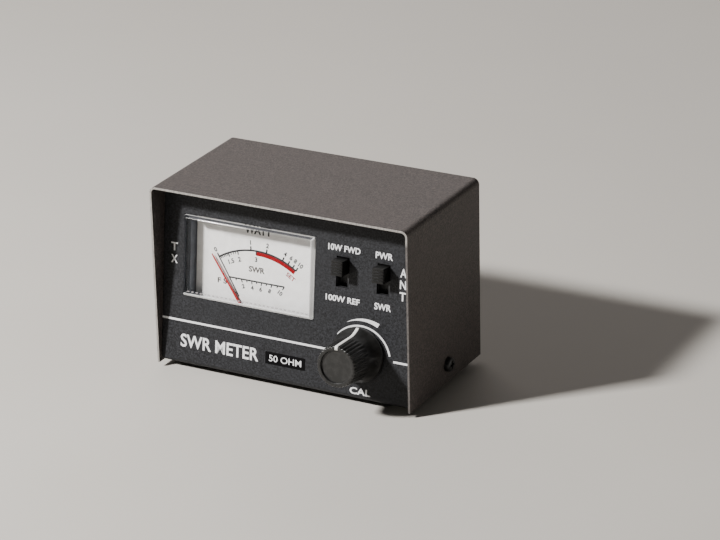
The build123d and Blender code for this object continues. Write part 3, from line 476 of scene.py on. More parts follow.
def diode_glass():
    """Glass diode bodies with a dark band at one end, on tinned leads."""
    finish = Finish("diode_glass")
    place = finish.place()
    across, _, _ = finish.axes(place)
    half_length, ring_place, ring_half = 1.9 * MM, COUPLER_X - 1.3 * MM, 0.3 * MM
    body = (across.size() - COUPLER_X).size() < half_length
    ring = (across.size() - ring_place).size() < ring_half
    lead = finish.noise(place, 0.4, 3.0)
    tone = finish.blend(body, tinned_lead(finish, lead), (0.55, 0.22, 0.1))
    tone = finish.blend(ring, tone, (0.02, 0.02, 0.02))
    return finish.set(Base_Color=tone, Metallic=0.9 - body * 0.9, Roughness=0.16 + lead * 0.1)


def floor_finish():
    """A plain pale table top."""
    finish = Finish("pale_floor")
    place = finish.place()
    cloud = finish.noise(place, 120.0, 3.0)
    tone = finish.blend(cloud, (0.50, 0.475, 0.435), (0.54, 0.515, 0.475))
    return finish.set(Base_Color=tone, Roughness=0.7 + cloud * 0.1, Specular_IOR_Level=0.2)


FINISHES = {
    "cover": textured_enamel("warm_grey_enamel", (0.041, 0.033, 0.0305), 0.42, True),
    "panel": textured_enamel("charcoal_enamel", (0.0138, 0.0142, 0.0162), 0.24),
    "black_screw": turned_metal(
        "blacked_steel", (0.035, 0.035, 0.036), 0.34, tarnish=0.1, metallic=0.6
    ),
    "rubber": rubber(),
    "moulding": moulded_plastic("satin_black_moulding", (0.024, 0.024, 0.025), 0.5),
    "slider": moulded_plastic(
        "black_slider_plastic", (0.0045, 0.0042, 0.004), 0.42, gloss=0.28
    ),
    # painted shade: the meter case's bluish grey gives its shaded inner wall the bluish tone of the
    # shade at the window's left
    "meter_moulding": moulded_plastic("meter_moulding_painted_shade_tone", (0.085, 0.095, 0.115), 0.6),
    "knob": knob_plastic(),
    "zinc_plate": turned_metal("zinc_plated_steel", (0.62, 0.61, 0.58), 0.26),
    "nickel": turned_metal("nickel_plate", (0.66, 0.64, 0.59), 0.16, tarnish=0.15),
    "soft_iron": turned_metal("soft_iron", (0.36, 0.355, 0.35), 0.42),
    "magnet": turned_metal("ground_magnet_alloy", (0.27, 0.27, 0.275), 0.36, (1, 1, 0.1)),
    "brass": turned_metal("turned_brass", (0.74, 0.55, 0.25), 0.26),
    "bronze": turned_metal("spring_bronze", (0.62, 0.38, 0.18), 0.3),
    "tin": turned_metal("tin_plate", (0.70, 0.70, 0.68), 0.34),
    "die_cast": turned_metal("die_cast_zinc", (0.52, 0.52, 0.51), 0.44, tarnish=0.35),
    "copper": turned_metal("tinned_copper_foil", (0.78, 0.48, 0.33), 0.3, tarnish=0.4),
    "silver": turned_metal("silver_plated_contact", (0.78, 0.75, 0.68), 0.2, tarnish=0.2),
    "solder": turned_metal("dull_solder", (0.55, 0.55, 0.55), 0.4, tarnish=0.4),
    "laminate": laminate("brown_board", (0.30, 0.155, 0.06)),
    "insulator": moulded_plastic("milky_insulator", (0.76, 0.74, 0.68), 0.42, 0.4, 0.004),
    "winding": enamelled_winding(),
    "resistor": banded_resistor(),
    "diode": diode_glass(),
    "ceramic": moulded_plastic("lacquered_ceramic", (0.52, 0.23, 0.06), 0.34, 0.5, 0.01),
    "white_ink": printing_ink("white_panel_ink", (0.86, 0.86, 0.87), 0.25),
    "knob_line": printing_ink("white_knob_filler", (0.86, 0.85, 0.82), 0.15),
    "black_ink": printing_ink("black_dial_ink", (0.018, 0.018, 0.02), 0.3),
    "grey_ink": printing_ink("brown_grey_dial_ink", (0.05, 0.04, 0.037), 0.3),
    "red_ink": printing_ink("red_dial_ink", (0.25, 0.001, 0.0055), 0.15, 0.08),
    "pointer": printing_ink("red_pointer_lacquer", (0.36, 0.006, 0.007), 0.1),
    "dial": dial_paper(),
    "badge": printing_ink("black_badge_ink", (0.0015, 0.0015, 0.0018), 0.2, 0.08),
    "clear_face": clear_face(),
    "clear_edge": clear_border("clear_window_edge", (0.12, 0.13, 0.15), 0.07),
    # painted light: whitish, half-opaque finishes on the window's lower and right-hand folds and
    # edges
    "painted_light_fold": clear_border("window_fold_painted_light", (0.93, 0.94, 0.93), 0.55),
    "painted_light_edge": clear_border("window_edge_painted_light", (0.96, 0.97, 0.98), 0.8),
    # painted highlights: the white lines along the window's top border
    "top_line_painted_highlight": clear_border("window_top_line_painted_highlight", (0.93, 0.92, 0.90), 0.34),
    "top_fold_painted_highlight": top_fold(),
    # painted shade: the clear window's top inner wall is made dark and nearly opaque, so it looks
    # shaded and shades the dial's top
    "top_wall_painted_shade": clear_border("window_top_wall_painted_shade", (0.16, 0.16, 0.17), 0.97),
    "clear_bead": clear_border("clear_window_bead", (0.5, 0.47, 0.47), 0.45),
}
WIRE_COLOURS = {
    "forward_wire": (0.72, 0.52, 0.04),
    "reflected_wire": (0.04, 0.26, 0.08),
    "ground_wire": (0.02, 0.02, 0.02),
    "calibration_wire": (0.72, 0.71, 0.68),
    "meter_negative_wire": (0.02, 0.02, 0.022),
    "meter_positive_wire": (0.5, 0.02, 0.018),
}


# ---------------------------------------------------------------- mesh words
def finish_mesh(mesh, finishes, smooth_below=None):
    """Gives a mesh its finishes, and smooths edges that turn by fewer degrees than a limit."""
    for key in finishes:
        mesh.materials.append(FINISHES[key])
    if smooth_below:
        for face in mesh.polygons:
            face.use_smooth = True
        mesh.set_sharp_from_angle(angle=radians(smooth_below))


def piece(name, mesh, finishes, body="case", stands_for=(), smooth_below=None):
    """Shows a mesh as a piece of the object that rides on a body."""
    finish_mesh(mesh, finishes, smooth_below)
    shown = bpy.data.objects.new(name, mesh)
    bpy.context.scene.collection.objects.link(shown)
    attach(shown, body)
    if stands_for:
        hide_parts(*stands_for)
    return shown


def mesh_of(name, points, faces, place=None, marks=None):
    """A mesh from points and faces; the marks say which finish each face has."""
    mesh = bpy.data.meshes.new(name)
    mesh.from_pydata([tuple(p) for p in points], [], faces)
    if marks:
        mesh.polygons.foreach_set("material_index", marks)
    if place is not None:
        mesh.transform(place)
    mesh.update()
    return mesh


def outward(mesh):
    """Turns all faces outward."""
    work = bmesh.new()
    work.from_mesh(mesh)
    bmesh.ops.recalc_face_normals(work, faces=work.faces)
    work.to_mesh(mesh)
    work.free()
    return mesh


def joined(name, meshes):
    """One mesh from several, each already in the frame's metres."""
    work = bmesh.new()
    for mesh in meshes:
        work.from_mesh(mesh)
        bpy.data.meshes.remove(mesh)
    made = bpy.data.meshes.new(name)
    work.to_mesh(made)
    work.free()
    return made


def bevelled(mesh, width, segments=2, angle=30):
    """Rounds a mesh's edges, width in metres."""
    work = bmesh.new()
    work.from_mesh(mesh)
    edges = [
        e for e in work.edges if len(e.link_faces) == 2 and e.calc_face_angle() > radians(angle)
    ]
    bmesh.ops.bevel(
        work, geom=edges, offset=width, segments=segments, profile=0.6, affect="EDGES",
        clamp_overlap=True,
    )
    work.to_mesh(mesh)
    work.free()
    return mesh


def rounded_outline(width, height, radius, steps=6):
    """Corner-rounded rectangle about the origin, anticlockwise."""
    points = []
    for quarter, (sx, sy) in enumerate(((1, 1), (-1, 1), (-1, -1), (1, -1))):
        for i in range(steps + 1):
            angle = pi / 2 * (quarter + i / steps)
            x = sx * (width / 2 - radius) + radius * cos(angle)
            y = sy * (height / 2 - radius) + radius * sin(angle)
            points.append((x, y))
    return points


def circle_outline(x, y, radius, steps=32):
    """A circle's outline, anticlockwise."""
    angles = [2 * pi * i / steps for i in range(steps)]
    return [(x + radius * cos(angle), y + radius * sin(angle)) for angle in angles]


def slab(outline, low, high, place, holes=()):
    """A flat plate with any outline and holes, from low to high along its own Z."""
    work = bmesh.new()
    edges = []
    for loop in (outline, *holes):
        ring = [work.verts.new((x, y, low)) for x, y in loop]
        edges += [work.edges.new((ring[i - 1], ring[i])) for i in range(len(ring))]
    bmesh.ops.triangle_fill(work, edges=edges, use_beauty=True)
    raised = bmesh.ops.extrude_face_region(work, geom=list(work.faces))["geom"]
    for part in raised:
        if isinstance(part, bmesh.types.BMVert):
            part.co.z = high
    bmesh.ops.recalc_face_normals(work, faces=work.faces)
    mesh = bpy.data.meshes.new("slab")
    work.to_mesh(mesh)
    work.free()
    mesh.transform(place)
    return mesh


def band(inner, outer, low, high, place):
    """A flat strip between two rows of points, as a thin closed solid."""
    count = len(inner)
    points = [(x, y, z) for z in (low, high) for x, y in (*inner, *outer)]
    top = 2 * count
    last = count - 1
    faces = [(0, top, top + count, count), (last, count + last, top + count + last, top + last)]
    for i in range(count - 1):
        faces.append((top + i, top + i + 1, top + count + i + 1, top + count + i))
        faces.append((i, count + i, count + i + 1, i + 1))
        faces.append((i, i + 1, top + i + 1, top + i))
        faces.append((count + i, top + count + i, top + count + i + 1, count + i + 1))
    return outward(mesh_of("band", points, faces, place))


def turned_solid(profile, place, steps=96, radius_at=None):
    """A solid of revolution from a closed, or axis to axis, profile of (radius, height)."""
    points, faces = [], []
    for radius, height in profile:
        for i in range(steps):
            angle = 2 * pi * i / steps
            r = radius_at(radius, height, angle) if radius_at else radius
            points.append((r * cos(angle), r * sin(angle), height))
    for row in range(len(profile) - 1):
        for i in range(steps):
            a, b = row * steps + i, row * steps + (i + 1) % steps
            faces.append((a, b, b + steps, a + steps))
    mesh = mesh_of("turned", points, faces, place)
    work = bmesh.new()
    work.from_mesh(mesh)
    bmesh.ops.remove_doubles(work, verts=work.verts, dist=1e-7)
    bmesh.ops.recalc_face_normals(work, faces=work.faces)
    work.to_mesh(mesh)
    work.free()
    return mesh


def cut_by(mesh, cutters):
    """The mesh with other meshes cut out of it."""
    base = bpy.data.objects.new("work", mesh)
    bpy.context.scene.collection.objects.link(base)
    tools = []
    for cutter in cutters:
        tool = bpy.data.objects.new("cutter", cutter)
        bpy.context.scene.collection.objects.link(tool)
        change = base.modifiers.new("cut", "BOOLEAN")
        change.operation, change.solver, change.object = "DIFFERENCE", "EXACT", tool
        tools.append(tool)
    made = settled(base)
    for thing in (base, *tools):
        bpy.data.objects.remove(thing)
    return made


def settled(thing):
    """The mesh that an object with modifiers or a curve comes to."""
    bpy.context.view_layer.update()
    depsgraph = bpy.context.evaluated_depsgraph_get()
    return bpy.data.meshes.new_from_object(thing.evaluated_get(depsgraph))


def cuboid(width, height, low, high, place):
    """A block about the origin, from low to high along its own Z."""
    x, y = width / 2, height / 2
    return slab([(-x, -y), (x, -y), (x, y), (-x, y)], low, high, place)


# ---------------------------------------------------------------- printing
INK_FOOT, INK_T = -0.01, 0.03  # the ink's underside and face, measured out from what it is on
CAP_SHARE = 0.7  # capital height as a share of the built-in type's size


def words(text, height, place, width=None, weight=0.0):
    """Lettering as a thin solid: height of its capitals, and its whole width if given."""
    curve = bpy.data.curves.new("words", "FONT")
    curve.body = text
    curve.size = height / CAP_SHARE
    curve.align_x = "CENTER"
    curve.offset = weight
    curve.extrude = (INK_T - INK_FOOT) / 2
    curve.resolution_u = 4
    letters = bpy.data.objects.new("words", curve)
    bpy.context.scene.collection.objects.link(letters)
    mesh = settled(letters)
    bpy.data.objects.remove(letters)
    xs = [v.co.x for v in mesh.vertices]
    stretch = width / (max(xs) - min(xs)) if width else 1.0
    middle = (max(xs) + min(xs)) / 2
    rise = Matrix.Translation((0, 0, (INK_T + INK_FOOT) / 2))
    shift = rise @ Matrix.Diagonal((stretch, 1, 1, 1))
    mesh.transform(place @ shift @ Matrix.Translation((-middle, 0, 0)))
    return mesh


def rule(start, end, width, surface):
    """A printed straight line between two points of a flat surface."""
    (x0, y0), (x1, y1) = start, end
    length = hypot(x1 - x0, y1 - y0)
    nx, ny = -(y1 - y0) / length * width / 2, (x1 - x0) / length * width / 2
    near = [(x0 - nx, y0 - ny), (x1 - nx, y1 - ny)]
    far = [(x0 + nx, y0 + ny), (x1 + nx, y1 + ny)]
    return band(near, far, INK_FOOT, INK_T, surface)


def arc_band(centre, inner, outer, start, end, surface, face=INK_T):
    """A printed arc; inner and outer radii are numbers, or pairs that run from start to end."""
    steps = max(6, int(abs(end - start) / 2))
    rows = []
    for radii in (inner, outer):
        first, last = radii if isinstance(radii, tuple) else (radii, radii)
        row = []
        for i in range(steps + 1):
            share = i / steps
            angle = radians(start + (end - start) * share)
            radius = first + (last - first) * share
            row.append((centre[0] + radius * cos(angle), centre[1] + radius * sin(angle)))
        rows.append(row)
    return band(rows[0], rows[1], INK_FOOT, face, surface)


def print_panel():
    """White screen printing on the front panel, all in the panel's own coordinates."""
    line_v, line_w = 18.12, 0.8
    arc_centre = (32.6, 17.2)
    marks = [
        rule((-PANEL_WALL_U + 0.1, line_v), (23.4, line_v), line_w, PANEL),
        rule((46.4, line_v), (PANEL_WALL_U - 0.1, line_v), line_w, PANEL),
        arc_band(arc_centre, 12.15, 12.85, 143, 13, PANEL),
        arc_band(arc_centre, (14.45, 14.6), (14.55, 16.4), 115, 63, PANEL),
    ]
    piece("panel_lines", joined("panel_lines", marks), ["white_ink"])
    labels = (
        ("10W FWD", 24.2, 57.3, 2.3, 13.6),
        ("100W REF", 24.2, 37.6, 2.2, 14.4),
        ("PWR", 41.0, 57.2, 2.45, 7.2),
        ("SWR", 41.1, 37.4, 2.45, 7.0),
        ("CAL", 32.9, 2.65, 2.5, 8.8),
    )
    lettering = [
        words(text, height, on_panel(u, v), width, 0.085) for text, u, v, height, width in labels
    ]
    columns = (
        (-49.3, 3.2, 2.9, (("T", 47.25), ("X", 42.3))),
        (49.2, 3.3, 2.6, (("A", 53.2), ("N", 48.65), ("T", 44.1))),
    )
    for u, height, width, column in columns:
        for letter, v in column:
            lettering.append(words(letter, height, on_panel(u, v - height / 2), width, 0.09))
    piece("panel_lettering", joined("panel_lettering", lettering), ["white_ink"])
    title = words("SWR METER", 5.0, on_panel(-28.5, 7.75), 34.5, weight=0.13)
    piece("panel_title", title, ["white_ink"])
    badge_u, badge_v, badge_t, cap_h = 0.45, 10.05, 0.05, 2.5
    badge = slab(rounded_outline(17.3, 4.9, 0.3), INK_FOOT, badge_t, on_panel(badge_u, badge_v))
    piece("impedance_badge", badge, ["badge"])
    badge_foot = on_panel(badge_u, badge_v - 1.2, badge_t)
    impedance = words("50 OHM", cap_h, badge_foot, 14.0, weight=0.02)
    piece("impedance_lettering", impedance, ["white_ink"])


ARC_R = 31.0  # radius of the main scale about the needle's pivot
ZERO, FULL = 122.5, 57.1  # its ends, in degrees anticlockwise from the right


def print_dial():
    """The dial's scales, in coordinates about the needle's pivot."""
    dial = on_panel(PIVOT_U, PIVOT_V, DIAL_OUT)

    def along(radius, angle):
        return radius * cos(radians(angle)), radius * sin(radians(angle))

    def radial(first, last, angle, width):
        return rule(along(first, angle), along(last, angle), width, dial)

    def upright(radius, angle):
        x, y = along(radius, angle)
        turn = Matrix.Rotation(radians(angle - 90), 4, "Z")
        return dial @ Matrix.Translation((x, y, 0)) @ turn

    def numeral(text, radius, angle, height):
        foot = upright(radius, angle) @ Matrix.Translation((0, -height / 2, 0))
        return words(text, height, foot, weight=0.08)

    black = [
        arc_band((0, 0), ARC_R - 0.28, ARC_R + 0.42, ZERO, FULL, dial, INK_T * 1.5),
        radial(14.0, ARC_R, ZERO, 0.52),
    ]
    watts = (
        ("0", ZERO), ("1", 95.2), ("2", 82.7), ("4", 69.2), ("6", 64.4), ("8", 60.2), ("10", FULL)
    )
    crowded = {"8": 0.75, "10": -0.7}  # degrees between these numerals and their marks
    for text, angle in watts:
        black.append(radial(ARC_R, ARC_R + 1.7, angle, 0.62))
        black.append(numeral(text, ARC_R + 3.2, angle + crowded.get(text, 0), 1.7))
    for angle in (ZERO, 114.2, 106.3, 91.0):
        black.append(radial(ARC_R - 1.5, ARC_R, angle, 0.5))
    for angle in (121.1, 119.7, 118.3, 116.9, 115.5, 112.2, 110.2, 108.3):
        black.append(radial(ARC_R - 1.0, ARC_R, angle, 0.38))
    for text, angle in (("1.5", 114.2), ("2", 106.3), ("3", 91.0)):
        black.append(numeral(text, ARC_R - 3.3, angle, 1.75))
    scale_y, scale_half, scale_reach, scale_steps = 18.9, 12.15, 32.7, 10
    black.append(rule((-scale_half, scale_y), (scale_half, scale_y), 0.6, dial))
    for i in range(scale_steps + 1):
        angle = 90 + scale_reach - 2 * scale_reach / scale_steps * i
        x = scale_y / tan(radians(angle))
        length = 1.3 if i % 2 == 0 else 0.85
        foot = (x * (1 - length / scale_y), scale_y - length)
        black.append(rule((x, scale_y), foot, 0.5, dial))
        if i and i % 2 == 0:
            black.append(numeral(str(i), 16.2 / sin(radians(angle)), angle, 1.6))
    black.append(words("WATT", 3.0, dial @ Matrix.Translation((0.1, 37.8, 0)), 11.8, 0.18))
    piece("dial_scale", joined("dial_scale", black), ["black_ink"])

    grey = [
        words("SWR", 2.1, dial @ Matrix.Translation((-0.05, 22.6, 0)), 7.0, 0.1),
        words("F S", 2.0, dial @ Matrix.Translation((-15.1, 15.9, 0)), 4.1, 0.08),
    ]
    piece("dial_captions", joined("dial_captions", grey), ["grey_ink"])
    red = [
        arc_band((0, 0), ARC_R - 1.75, ARC_R - 0.1, 91.0, FULL, dial),
        words("SET", 1.6, upright(27.6, 57.7) @ Matrix.Translation((0, -0.8, 0)), 4.2, 0.05),
    ]
    piece("dial_red_scale", joined("dial_red_scale", red), ["red_ink"])


# ---------------------------------------------------------------- pieces
WINDOW_W, WINDOW_H = 56.8, 32.3  # outside of the raised border
RIM_W, RIM_LOW_V, RIM_HIGH_V = 60.3, 5.0, 63.6  # the plate behind the panel
RIM_FRONT, RIM_BACK = -1.05, -2.55  # the plate's two faces
WINDOW_FINISHES = (
    "clear_face", "clear_edge", "painted_light_fold", "painted_light_edge", "top_line_painted_highlight", "top_fold_painted_highlight",
    "top_wall_painted_shade",
)
FACE, EDGE, FOLD, PAINTED_LIGHT_EDGE, TOP_LINE, TOP_FOLD, TOP_WALL = range(len(WINDOW_FINISHES))


def meter_window():
    """Clear window: a bevelled border that stands proud of the panel, and its rim behind it."""
    proud, bevel, wall, corner = 1.5, 1.1, 1.2, 0.7
    place = on_panel(PIVOT_U, WINDOW_V)
    inner = [(wall, RIM_BACK), (wall, proud - wall)]
    outer = [(0, RIM_BACK), (0, 0.15), (0.03, 0.27), (0.09, 0.37), (0.18, 0.48)]
    outer += [(bevel - 0.2, proud - 0.2), (bevel - 0.1, proud - 0.11), (bevel + 0.02, proud - 0.03)]
    outer += [(bevel + 0.18, proud)]
    points, faces, marks = [], [], []
    for inset, out in inner + outer:
        width, height = WINDOW_W - 2 * inset, WINDOW_H - 2 * inset
        ring = rounded_outline(width, height, max(corner - inset, 0.25))
        points += [(x, y, out) for x, y in ring]
    count = len(ring)
    last = len(inner) + len(outer) - 1
    # Each strip of the section: its two rows, its finish at the bottom and right, and at the top.
    # The white finishes at the bottom and right are painted light, the top's white lines painted
    # highlights, its dark inner wall painted shade.
    strips = [(0, 1, EDGE, TOP_WALL), (0, 2, EDGE, EDGE), (2, 3, PAINTED_LIGHT_EDGE, EDGE)]
    strips += [(row, row + 1, FOLD, TOP_LINE) for row in (3, 4, 5)]
    strips += [(6, 7, PAINTED_LIGHT_EDGE, EDGE)]
    strips += [(row, row + 1, FOLD, TOP_FOLD) for row in range(7, last)]
    low_end, high_end, right_end = 1.4 - 0.45 * WINDOW_H, 0.45 * WINDOW_H, 1.4 + 0.45 * WINDOW_W
    for first, second, lower, upper in strips:
        for i in range(count):
            a, b = first * count + i, first * count + (i + 1) % count
            step = (second - first) * count
            faces.append((a, b, b + step, a + step))
            x, y = (points[a][0] + points[b][0]) / 2, (points[a][1] + points[b][1]) / 2
            if y < low_end or x > right_end:
                marks.append(lower)
            else:
                marks.append(upper if y > high_end else EDGE)
    for row in (1, last):
        faces.append(tuple(range(row * count, (row + 1) * count)))
        marks.append(FACE)
    border = outward(mesh_of("border", points, faces, place, marks))
    piece(
        "meter_window_clear", border, WINDOW_FINISHES,
        stands_for=("meter_window",), smooth_below=30,
    )
    middle = (RIM_LOW_V + RIM_HIGH_V) / 2
    opening = rounded_outline(WINDOW_W + 0.1, WINDOW_H + 0.1, corner)
    rim = slab(
        rounded_outline(RIM_W, RIM_HIGH_V - RIM_LOW_V, 1.0), RIM_BACK, RIM_FRONT,
        on_panel(PIVOT_U, middle), [[(x, y + WINDOW_V - middle) for x, y in opening]],
    )
    piece("meter_window_rim", rim, ["clear_edge"], smooth_below=30)
    window_beads(place, wall, proud - wall)


def window_beads(place, wall, under):
    """Small moulded ribs inside the window's lower and right-hand borders."""
    beads = []
    breadth, tall, margin = 0.45, 0.3, 1.0
    pitch, length = 1.85, 0.9
    span = WINDOW_W - 2 * wall - 2 * margin
    for i in range(int(span / pitch) + 1):
        u = -span / 2 + i * pitch
        spot = place @ Matrix.Translation((u, -WINDOW_H / 2 + wall + 0.5, under - tall))
        beads.append(bevelled(cuboid(length, breadth, 0, tall, spot), 0.1 * MM))
    pitch, length = 0.95, 0.5
    rise = WINDOW_H - 2 * wall - 2 * margin
    for i in range(int(rise / pitch) + 1):
        v = -rise / 2 + i * pitch
        spot = place @ Matrix.Translation((WINDOW_W / 2 - wall - 0.45, v, under - tall))
        beads.append(bevelled(cuboid(breadth, length, 0, tall, spot), 0.08 * MM))
    piece("meter_window_beads", joined("beads", beads), ["clear_bead"])


KNOB_L = 18.3  # its length from the panel
KNOB_FLUTES = 36
KNOB_LAND = radians(7)  # plain strip that carries the white line


def knob_profile():
    """Half section of the knob's outside, from the skirt's foot to the rim of its face."""
    skirt_r, skirt_low, skirt_top = 10.8, 0.6, 1.5
    body_r, flare_top, face_r, face = 8.6, 8.0, 8.05, KNOB_L
    flare_steps, grip_steps, edge = 14, 12, 0.15
    rows = [(skirt_r - edge, skirt_low), (skirt_r, skirt_low + edge), (skirt_r, skirt_top)]
    for i in range(1, flare_steps + 1):
        share = i / flare_steps
        fall = (1 - share) ** 2.1
        radius = body_r + (skirt_r - 0.12 - body_r) * fall
        rows.append((radius, skirt_top + edge + share * (flare_top - skirt_top)))
    for i in range(1, grip_steps + 1):
        share = i / grip_steps
        radius = body_r + (face_r - body_r) * share
        rows.append((radius, flare_top + edge + share * (face - 0.55 - flare_top)))
    rows += [(face_r - 0.05, face - 0.2), (face_r - 0.16, face - 0.06), (face_r - 0.34, face)]
    return rows


def flute_depth(height, angle):
    """Depth of the grip's flutes, which fade out on the flare and leave the land plain."""
    flutes_from, fade = 7.4, 2.2
    rise = min(1.0, max(0.0, (height - flutes_from) / fade))
    off_land = abs((angle - pi / 2 + pi) % (2 * pi) - pi)
    clear = min(1.0, max(0.0, (off_land - KNOB_LAND) / radians(3)))
    return 0.36 * rise * clear * (0.5 - 0.5 * cos(KNOB_FLUTES * angle))


def cal_knob():
    """The knob's moulding, hollow behind for its nut, with a dished face and a white line."""
    place = on_panel(KNOB_U, KNOB_V)
    dish_r, face, dish_t = 6.4, KNOB_L, 0.8
    bore_r, bore_top, nut_r, nut_top, foot = 3.02, 14.5, 6.55, 5.8, 0.6
    hollow = [
        (0, bore_top), (bore_r, bore_top), (bore_r, nut_top), (nut_r, nut_top), (nut_r, foot)
    ]
    outside = knob_profile()
    inside = [
        (dish_r + 0.16, face), (dish_r + 0.04, face - 0.05), (dish_r, face - 0.16),
        (dish_r - 0.02, face - dish_t + 0.15), (dish_r - 0.15, face - dish_t),
        (dish_r * 0.66, face - dish_t - 0.02), (dish_r * 0.33, face - dish_t - 0.04),
        (0, face - dish_t - 0.05),
    ]
    plain_r = 6.9  # nothing inside this radius is fluted

    def radius_at(radius, height, angle):
        return radius - flute_depth(height, angle) if radius > plain_r else radius

    mesh = turned_solid(hollow + outside + inside, place, KNOB_FLUTES * 8, radius_at)
    piece(
        "cal_knob_moulding", mesh, ["knob"], "calibration_control", ("cal_knob",), 42
    )
    knob_line(place, outside, dish_r + 0.2)


def knob_line(place, outside, end_r):
    """The white line, from the skirt's top over the grip to the rim of the face."""
    half, lift, skirt_edge, rim_r = 0.6, 0.035, 1.4, 7.9
    across = [side * half for side in (-1, -0.5, 0, 0.5, 1)]
    face = KNOB_L + lift
    route = [(r + lift, z) for r, z in outside if z > skirt_edge] + [(end_r, face)]
    route = [(max(r, end_r), min(z, face) if r < rim_r else z) for r, z in route]
    points = [(x, max(r * r - x * x, 0) ** 0.5, z) for r, z in route for x in across]
    faces = []
    count = len(across)
    for row in range(len(route) - 1):
        for i in range(count - 1):
            a = row * count + i
            faces.append((a, a + 1, a + count + 1, a + count))
    line = outward(mesh_of("line", points, faces, place))
    shown = piece("cal_knob_line", line, ["knob_line"], "calibration_control", (), 40)
    thick = shown.modifiers.new("thickness", "SOLIDIFY")
    thick.thickness, thick.offset = 0.07 * MM, 0


def switch_sliders():
    """Ribbed finger pieces on their sliding bases."""
    width, height, proud, ribs, groove, deep = 4.7, 5.8, 5.0, 5, 0.42, 0.4
    base_w, base_h, base_top, base_t = 6.4, 9.0, -1.9, 1.6
    pitch = height / ribs
    side = [(-height / 2, base_top), (-height / 2, proud)]
    for i in range(1, ribs):
        v = -height / 2 + i * pitch
        side += [(v - groove / 2, proud), (v - groove / 3, proud - deep)]
        side += [(v + groove / 3, proud - deep), (v + groove / 2, proud)]
    side += [(height / 2, proud), (height / 2, base_top)]
    turn = Matrix(((0, 0, 1, 0), (1, 0, 0, 0), (0, 1, 0, 0), (0, 0, 0, 1)))
    for name, u in SLIDERS:
        finger = slab(side, -width / 2, width / 2, on_panel(u, SLIDER_V) @ turn)
        finger = bevelled(finger, 0.09 * MM, 2, 40)
        base = cuboid(base_w, base_h, base_top - base_t, base_top - 0.01, on_panel(u, SLIDER_V))
        mesh = joined(name, [finger, bevelled(base, 0.12 * MM)])
        piece(
            f"{name}_slider_moulding", mesh, ["slider"], f"{name}_slider",
            (f"{name}_switch_slider",), 40,
        )


THREAD_PITCH = 25.4 / 24  # 24 threads to the inch


def thread_radius(radius, height, angle, start, end):
    """Outside of a single-start thread that runs out at both ends."""
    depth, flat, run_in, run_out = 0.62, 0.12, 0.5, 0.6  # flat is a share of half the pitch
    phase = (height / THREAD_PITCH - angle / (2 * pi)) % 1.0
    root = min(1.0, max(0.0, (abs(phase - 0.5) * 2 - flat) / (1 - 2 * flat)))
    fade = min(1.0, max(0.0, (height - start) / run_in), max(0.0, (end - height) / run_out))
    return radius - depth * root * fade


def coaxial_socket(name):
    """Square flange with four holes and a threaded, notched barrel."""
    low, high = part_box(f"{name}_socket_shell")
    middle = (low + high) / 2
    seat = Vector((middle.x, low.y, middle.z))
    place = placed(-ACROSS, Vector((0, 0, 1)), Vector((0, 1, 0)), seat)
    flange, flange_t, hole_r, spacing = 25.4, 1.6, 1.7, 18.2
    barrel_r, bore_r, tip, notch_w, notch_d = 7.94, 6.2, 13.6, 2.0, 1.0
    holes = [
        circle_outline(sx * spacing / 2, sy * spacing / 2, hole_r, 28)
        for sx in (-1, 1)
        for sy in (-1, 1)
    ]
    holes.append(circle_outline(0, 0, bore_r, 64))
    plate = slab(rounded_outline(flange, flange, 3.0, 8), 0, flange_t, place, holes)
    plate = bevelled(plate, 0.18 * MM, 2, 50)
    rows = []
    barrel_foot = flange_t - 0.4
    height = barrel_foot
    while height < tip - 0.25:
        rows.append((barrel_r, height))
        height += THREAD_PITCH / 9
    rows += [(barrel_r - 0.42, tip - 0.18), (barrel_r - 0.6, tip)]
    mouth = [(bore_r + 0.2, tip), (bore_r, tip - 0.2)]
    profile = [(bore_r, barrel_foot), *rows, *mouth, (bore_r, barrel_foot)]

    def radius_at(radius, level, angle):
        if radius < barrel_r - 0.1:
            return radius
        return thread_radius(radius, level, angle, flange_t + 0.5, tip - 0.2)

    barrel = turned_solid(profile, Matrix.Identity(4), 84, radius_at)
    slots = [
        cuboid(40, notch_w, tip - notch_d, tip + 2, Matrix.Rotation(radians(turn), 4, "Z"))
        for turn in (0, 90)
    ]
    barrel = cut_by(barrel, slots)
    barrel.transform(place)
    mesh = joined(name, [plate, barrel])
    piece(
        f"{name}_socket_body", mesh, ["nickel"], "case",
        (f"{name}_socket_shell",), 32,
    )


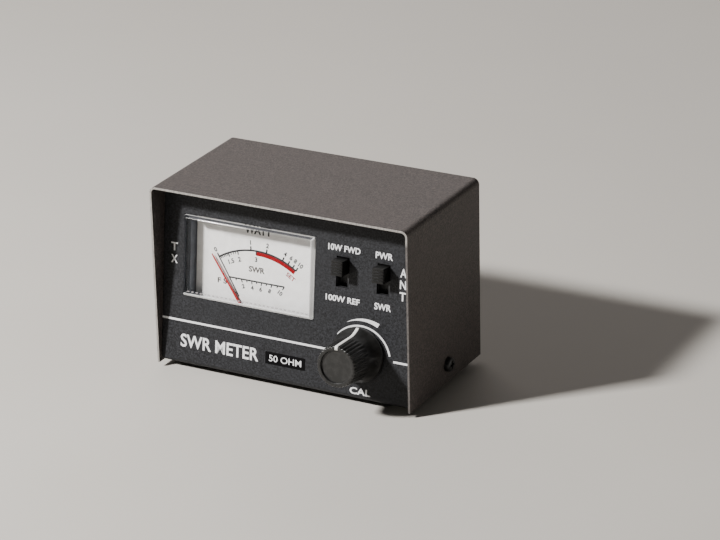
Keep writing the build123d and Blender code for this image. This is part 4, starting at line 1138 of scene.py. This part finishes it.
def finish_cad_nodes():
    """Gives every CAD node that still shows its own finish."""
    by_key = {
        "cover": ("top_cover",),
        "panel": ("chassis",),
        "black_screw": ("side_screws", "coupler_screws"),
        "rubber": ("rubber_feet",),
        "moulding": ("range_switch_body", "function_switch_body"),
        "meter_moulding": ("meter_case",),
        "dial": ("meter_dial",),
        "zinc_plate": (
            "dial_screws", "clip_studs", "meter_clips", "clip_nuts", "control_board_spacers",
            "control_board_screws", "cal_pot_washer", "cal_pot_nut", "cal_pot_shaft",
            "coupler_spacers", "transmitter_socket_screws", "transmitter_socket_nuts",
            "antenna_socket_screws", "antenna_socket_nuts",
        ),
        "soft_iron": ("meter_yoke",),
        "magnet": ("core_magnet",),
        "brass": ("core_spacers", "meter_bridges", "jewel_screws", "meter_terminals"),
        "bronze": ("hairspring",),
        "tin": ("range_switch_pins", "function_switch_pins", "cal_pot_terminals"),
        "die_cast": ("cal_pot_body",),
        "copper": ("coupler_lines",),
        "silver": ("transmitter_socket_contact", "antenna_socket_contact"),
        "solder": ("balance_weights",),
        "laminate": ("control_board", "coupler_board", "cal_pot_wiper"),
        "insulator": ("transmitter_socket_dielectric", "antenna_socket_dielectric"),
        "winding": ("moving_coil",),
        "resistor": ("load_resistors",),
        "diode": ("detector_diodes",),
        "ceramic": ("bypass_capacitors",),
        "pointer": ("meter_pointer",),
    }
    for key, names in by_key.items():
        for name in names:
            dress(NODES[name], FINISHES[key])
    for name, colour in WIRE_COLOURS.items():
        dress(NODES[name], moulded_plastic(f"{name}_vinyl", colour, 0.4, 0.6, 0.008))


def dress(node, material):
    """Gives a CAD node its one finish."""
    node.data.materials.clear()
    node.data.materials.append(material)


def add_floor():
    """A wide round table top for the object to stand on."""
    outline = circle_outline(0, 0, 4000, 96)
    points, face = [(x, y, 0) for x, y in outline], tuple(range(len(outline)))
    floor = bpy.data.objects.new("floor", mesh_of("floor", points, [face], Matrix.Scale(MM, 4)))
    floor.data.materials.append(floor_finish())
    bpy.context.scene.collection.objects.link(floor)


# ---------------------------------------------------------------- the object
add_camera()
add_lights()
add_floor()
finish_cad_nodes()
meter_window()
print_dial()
print_panel()
cal_knob()
switch_sliders()
for socket in ("transmitter", "antenna"):
    coaxial_socket(socket)
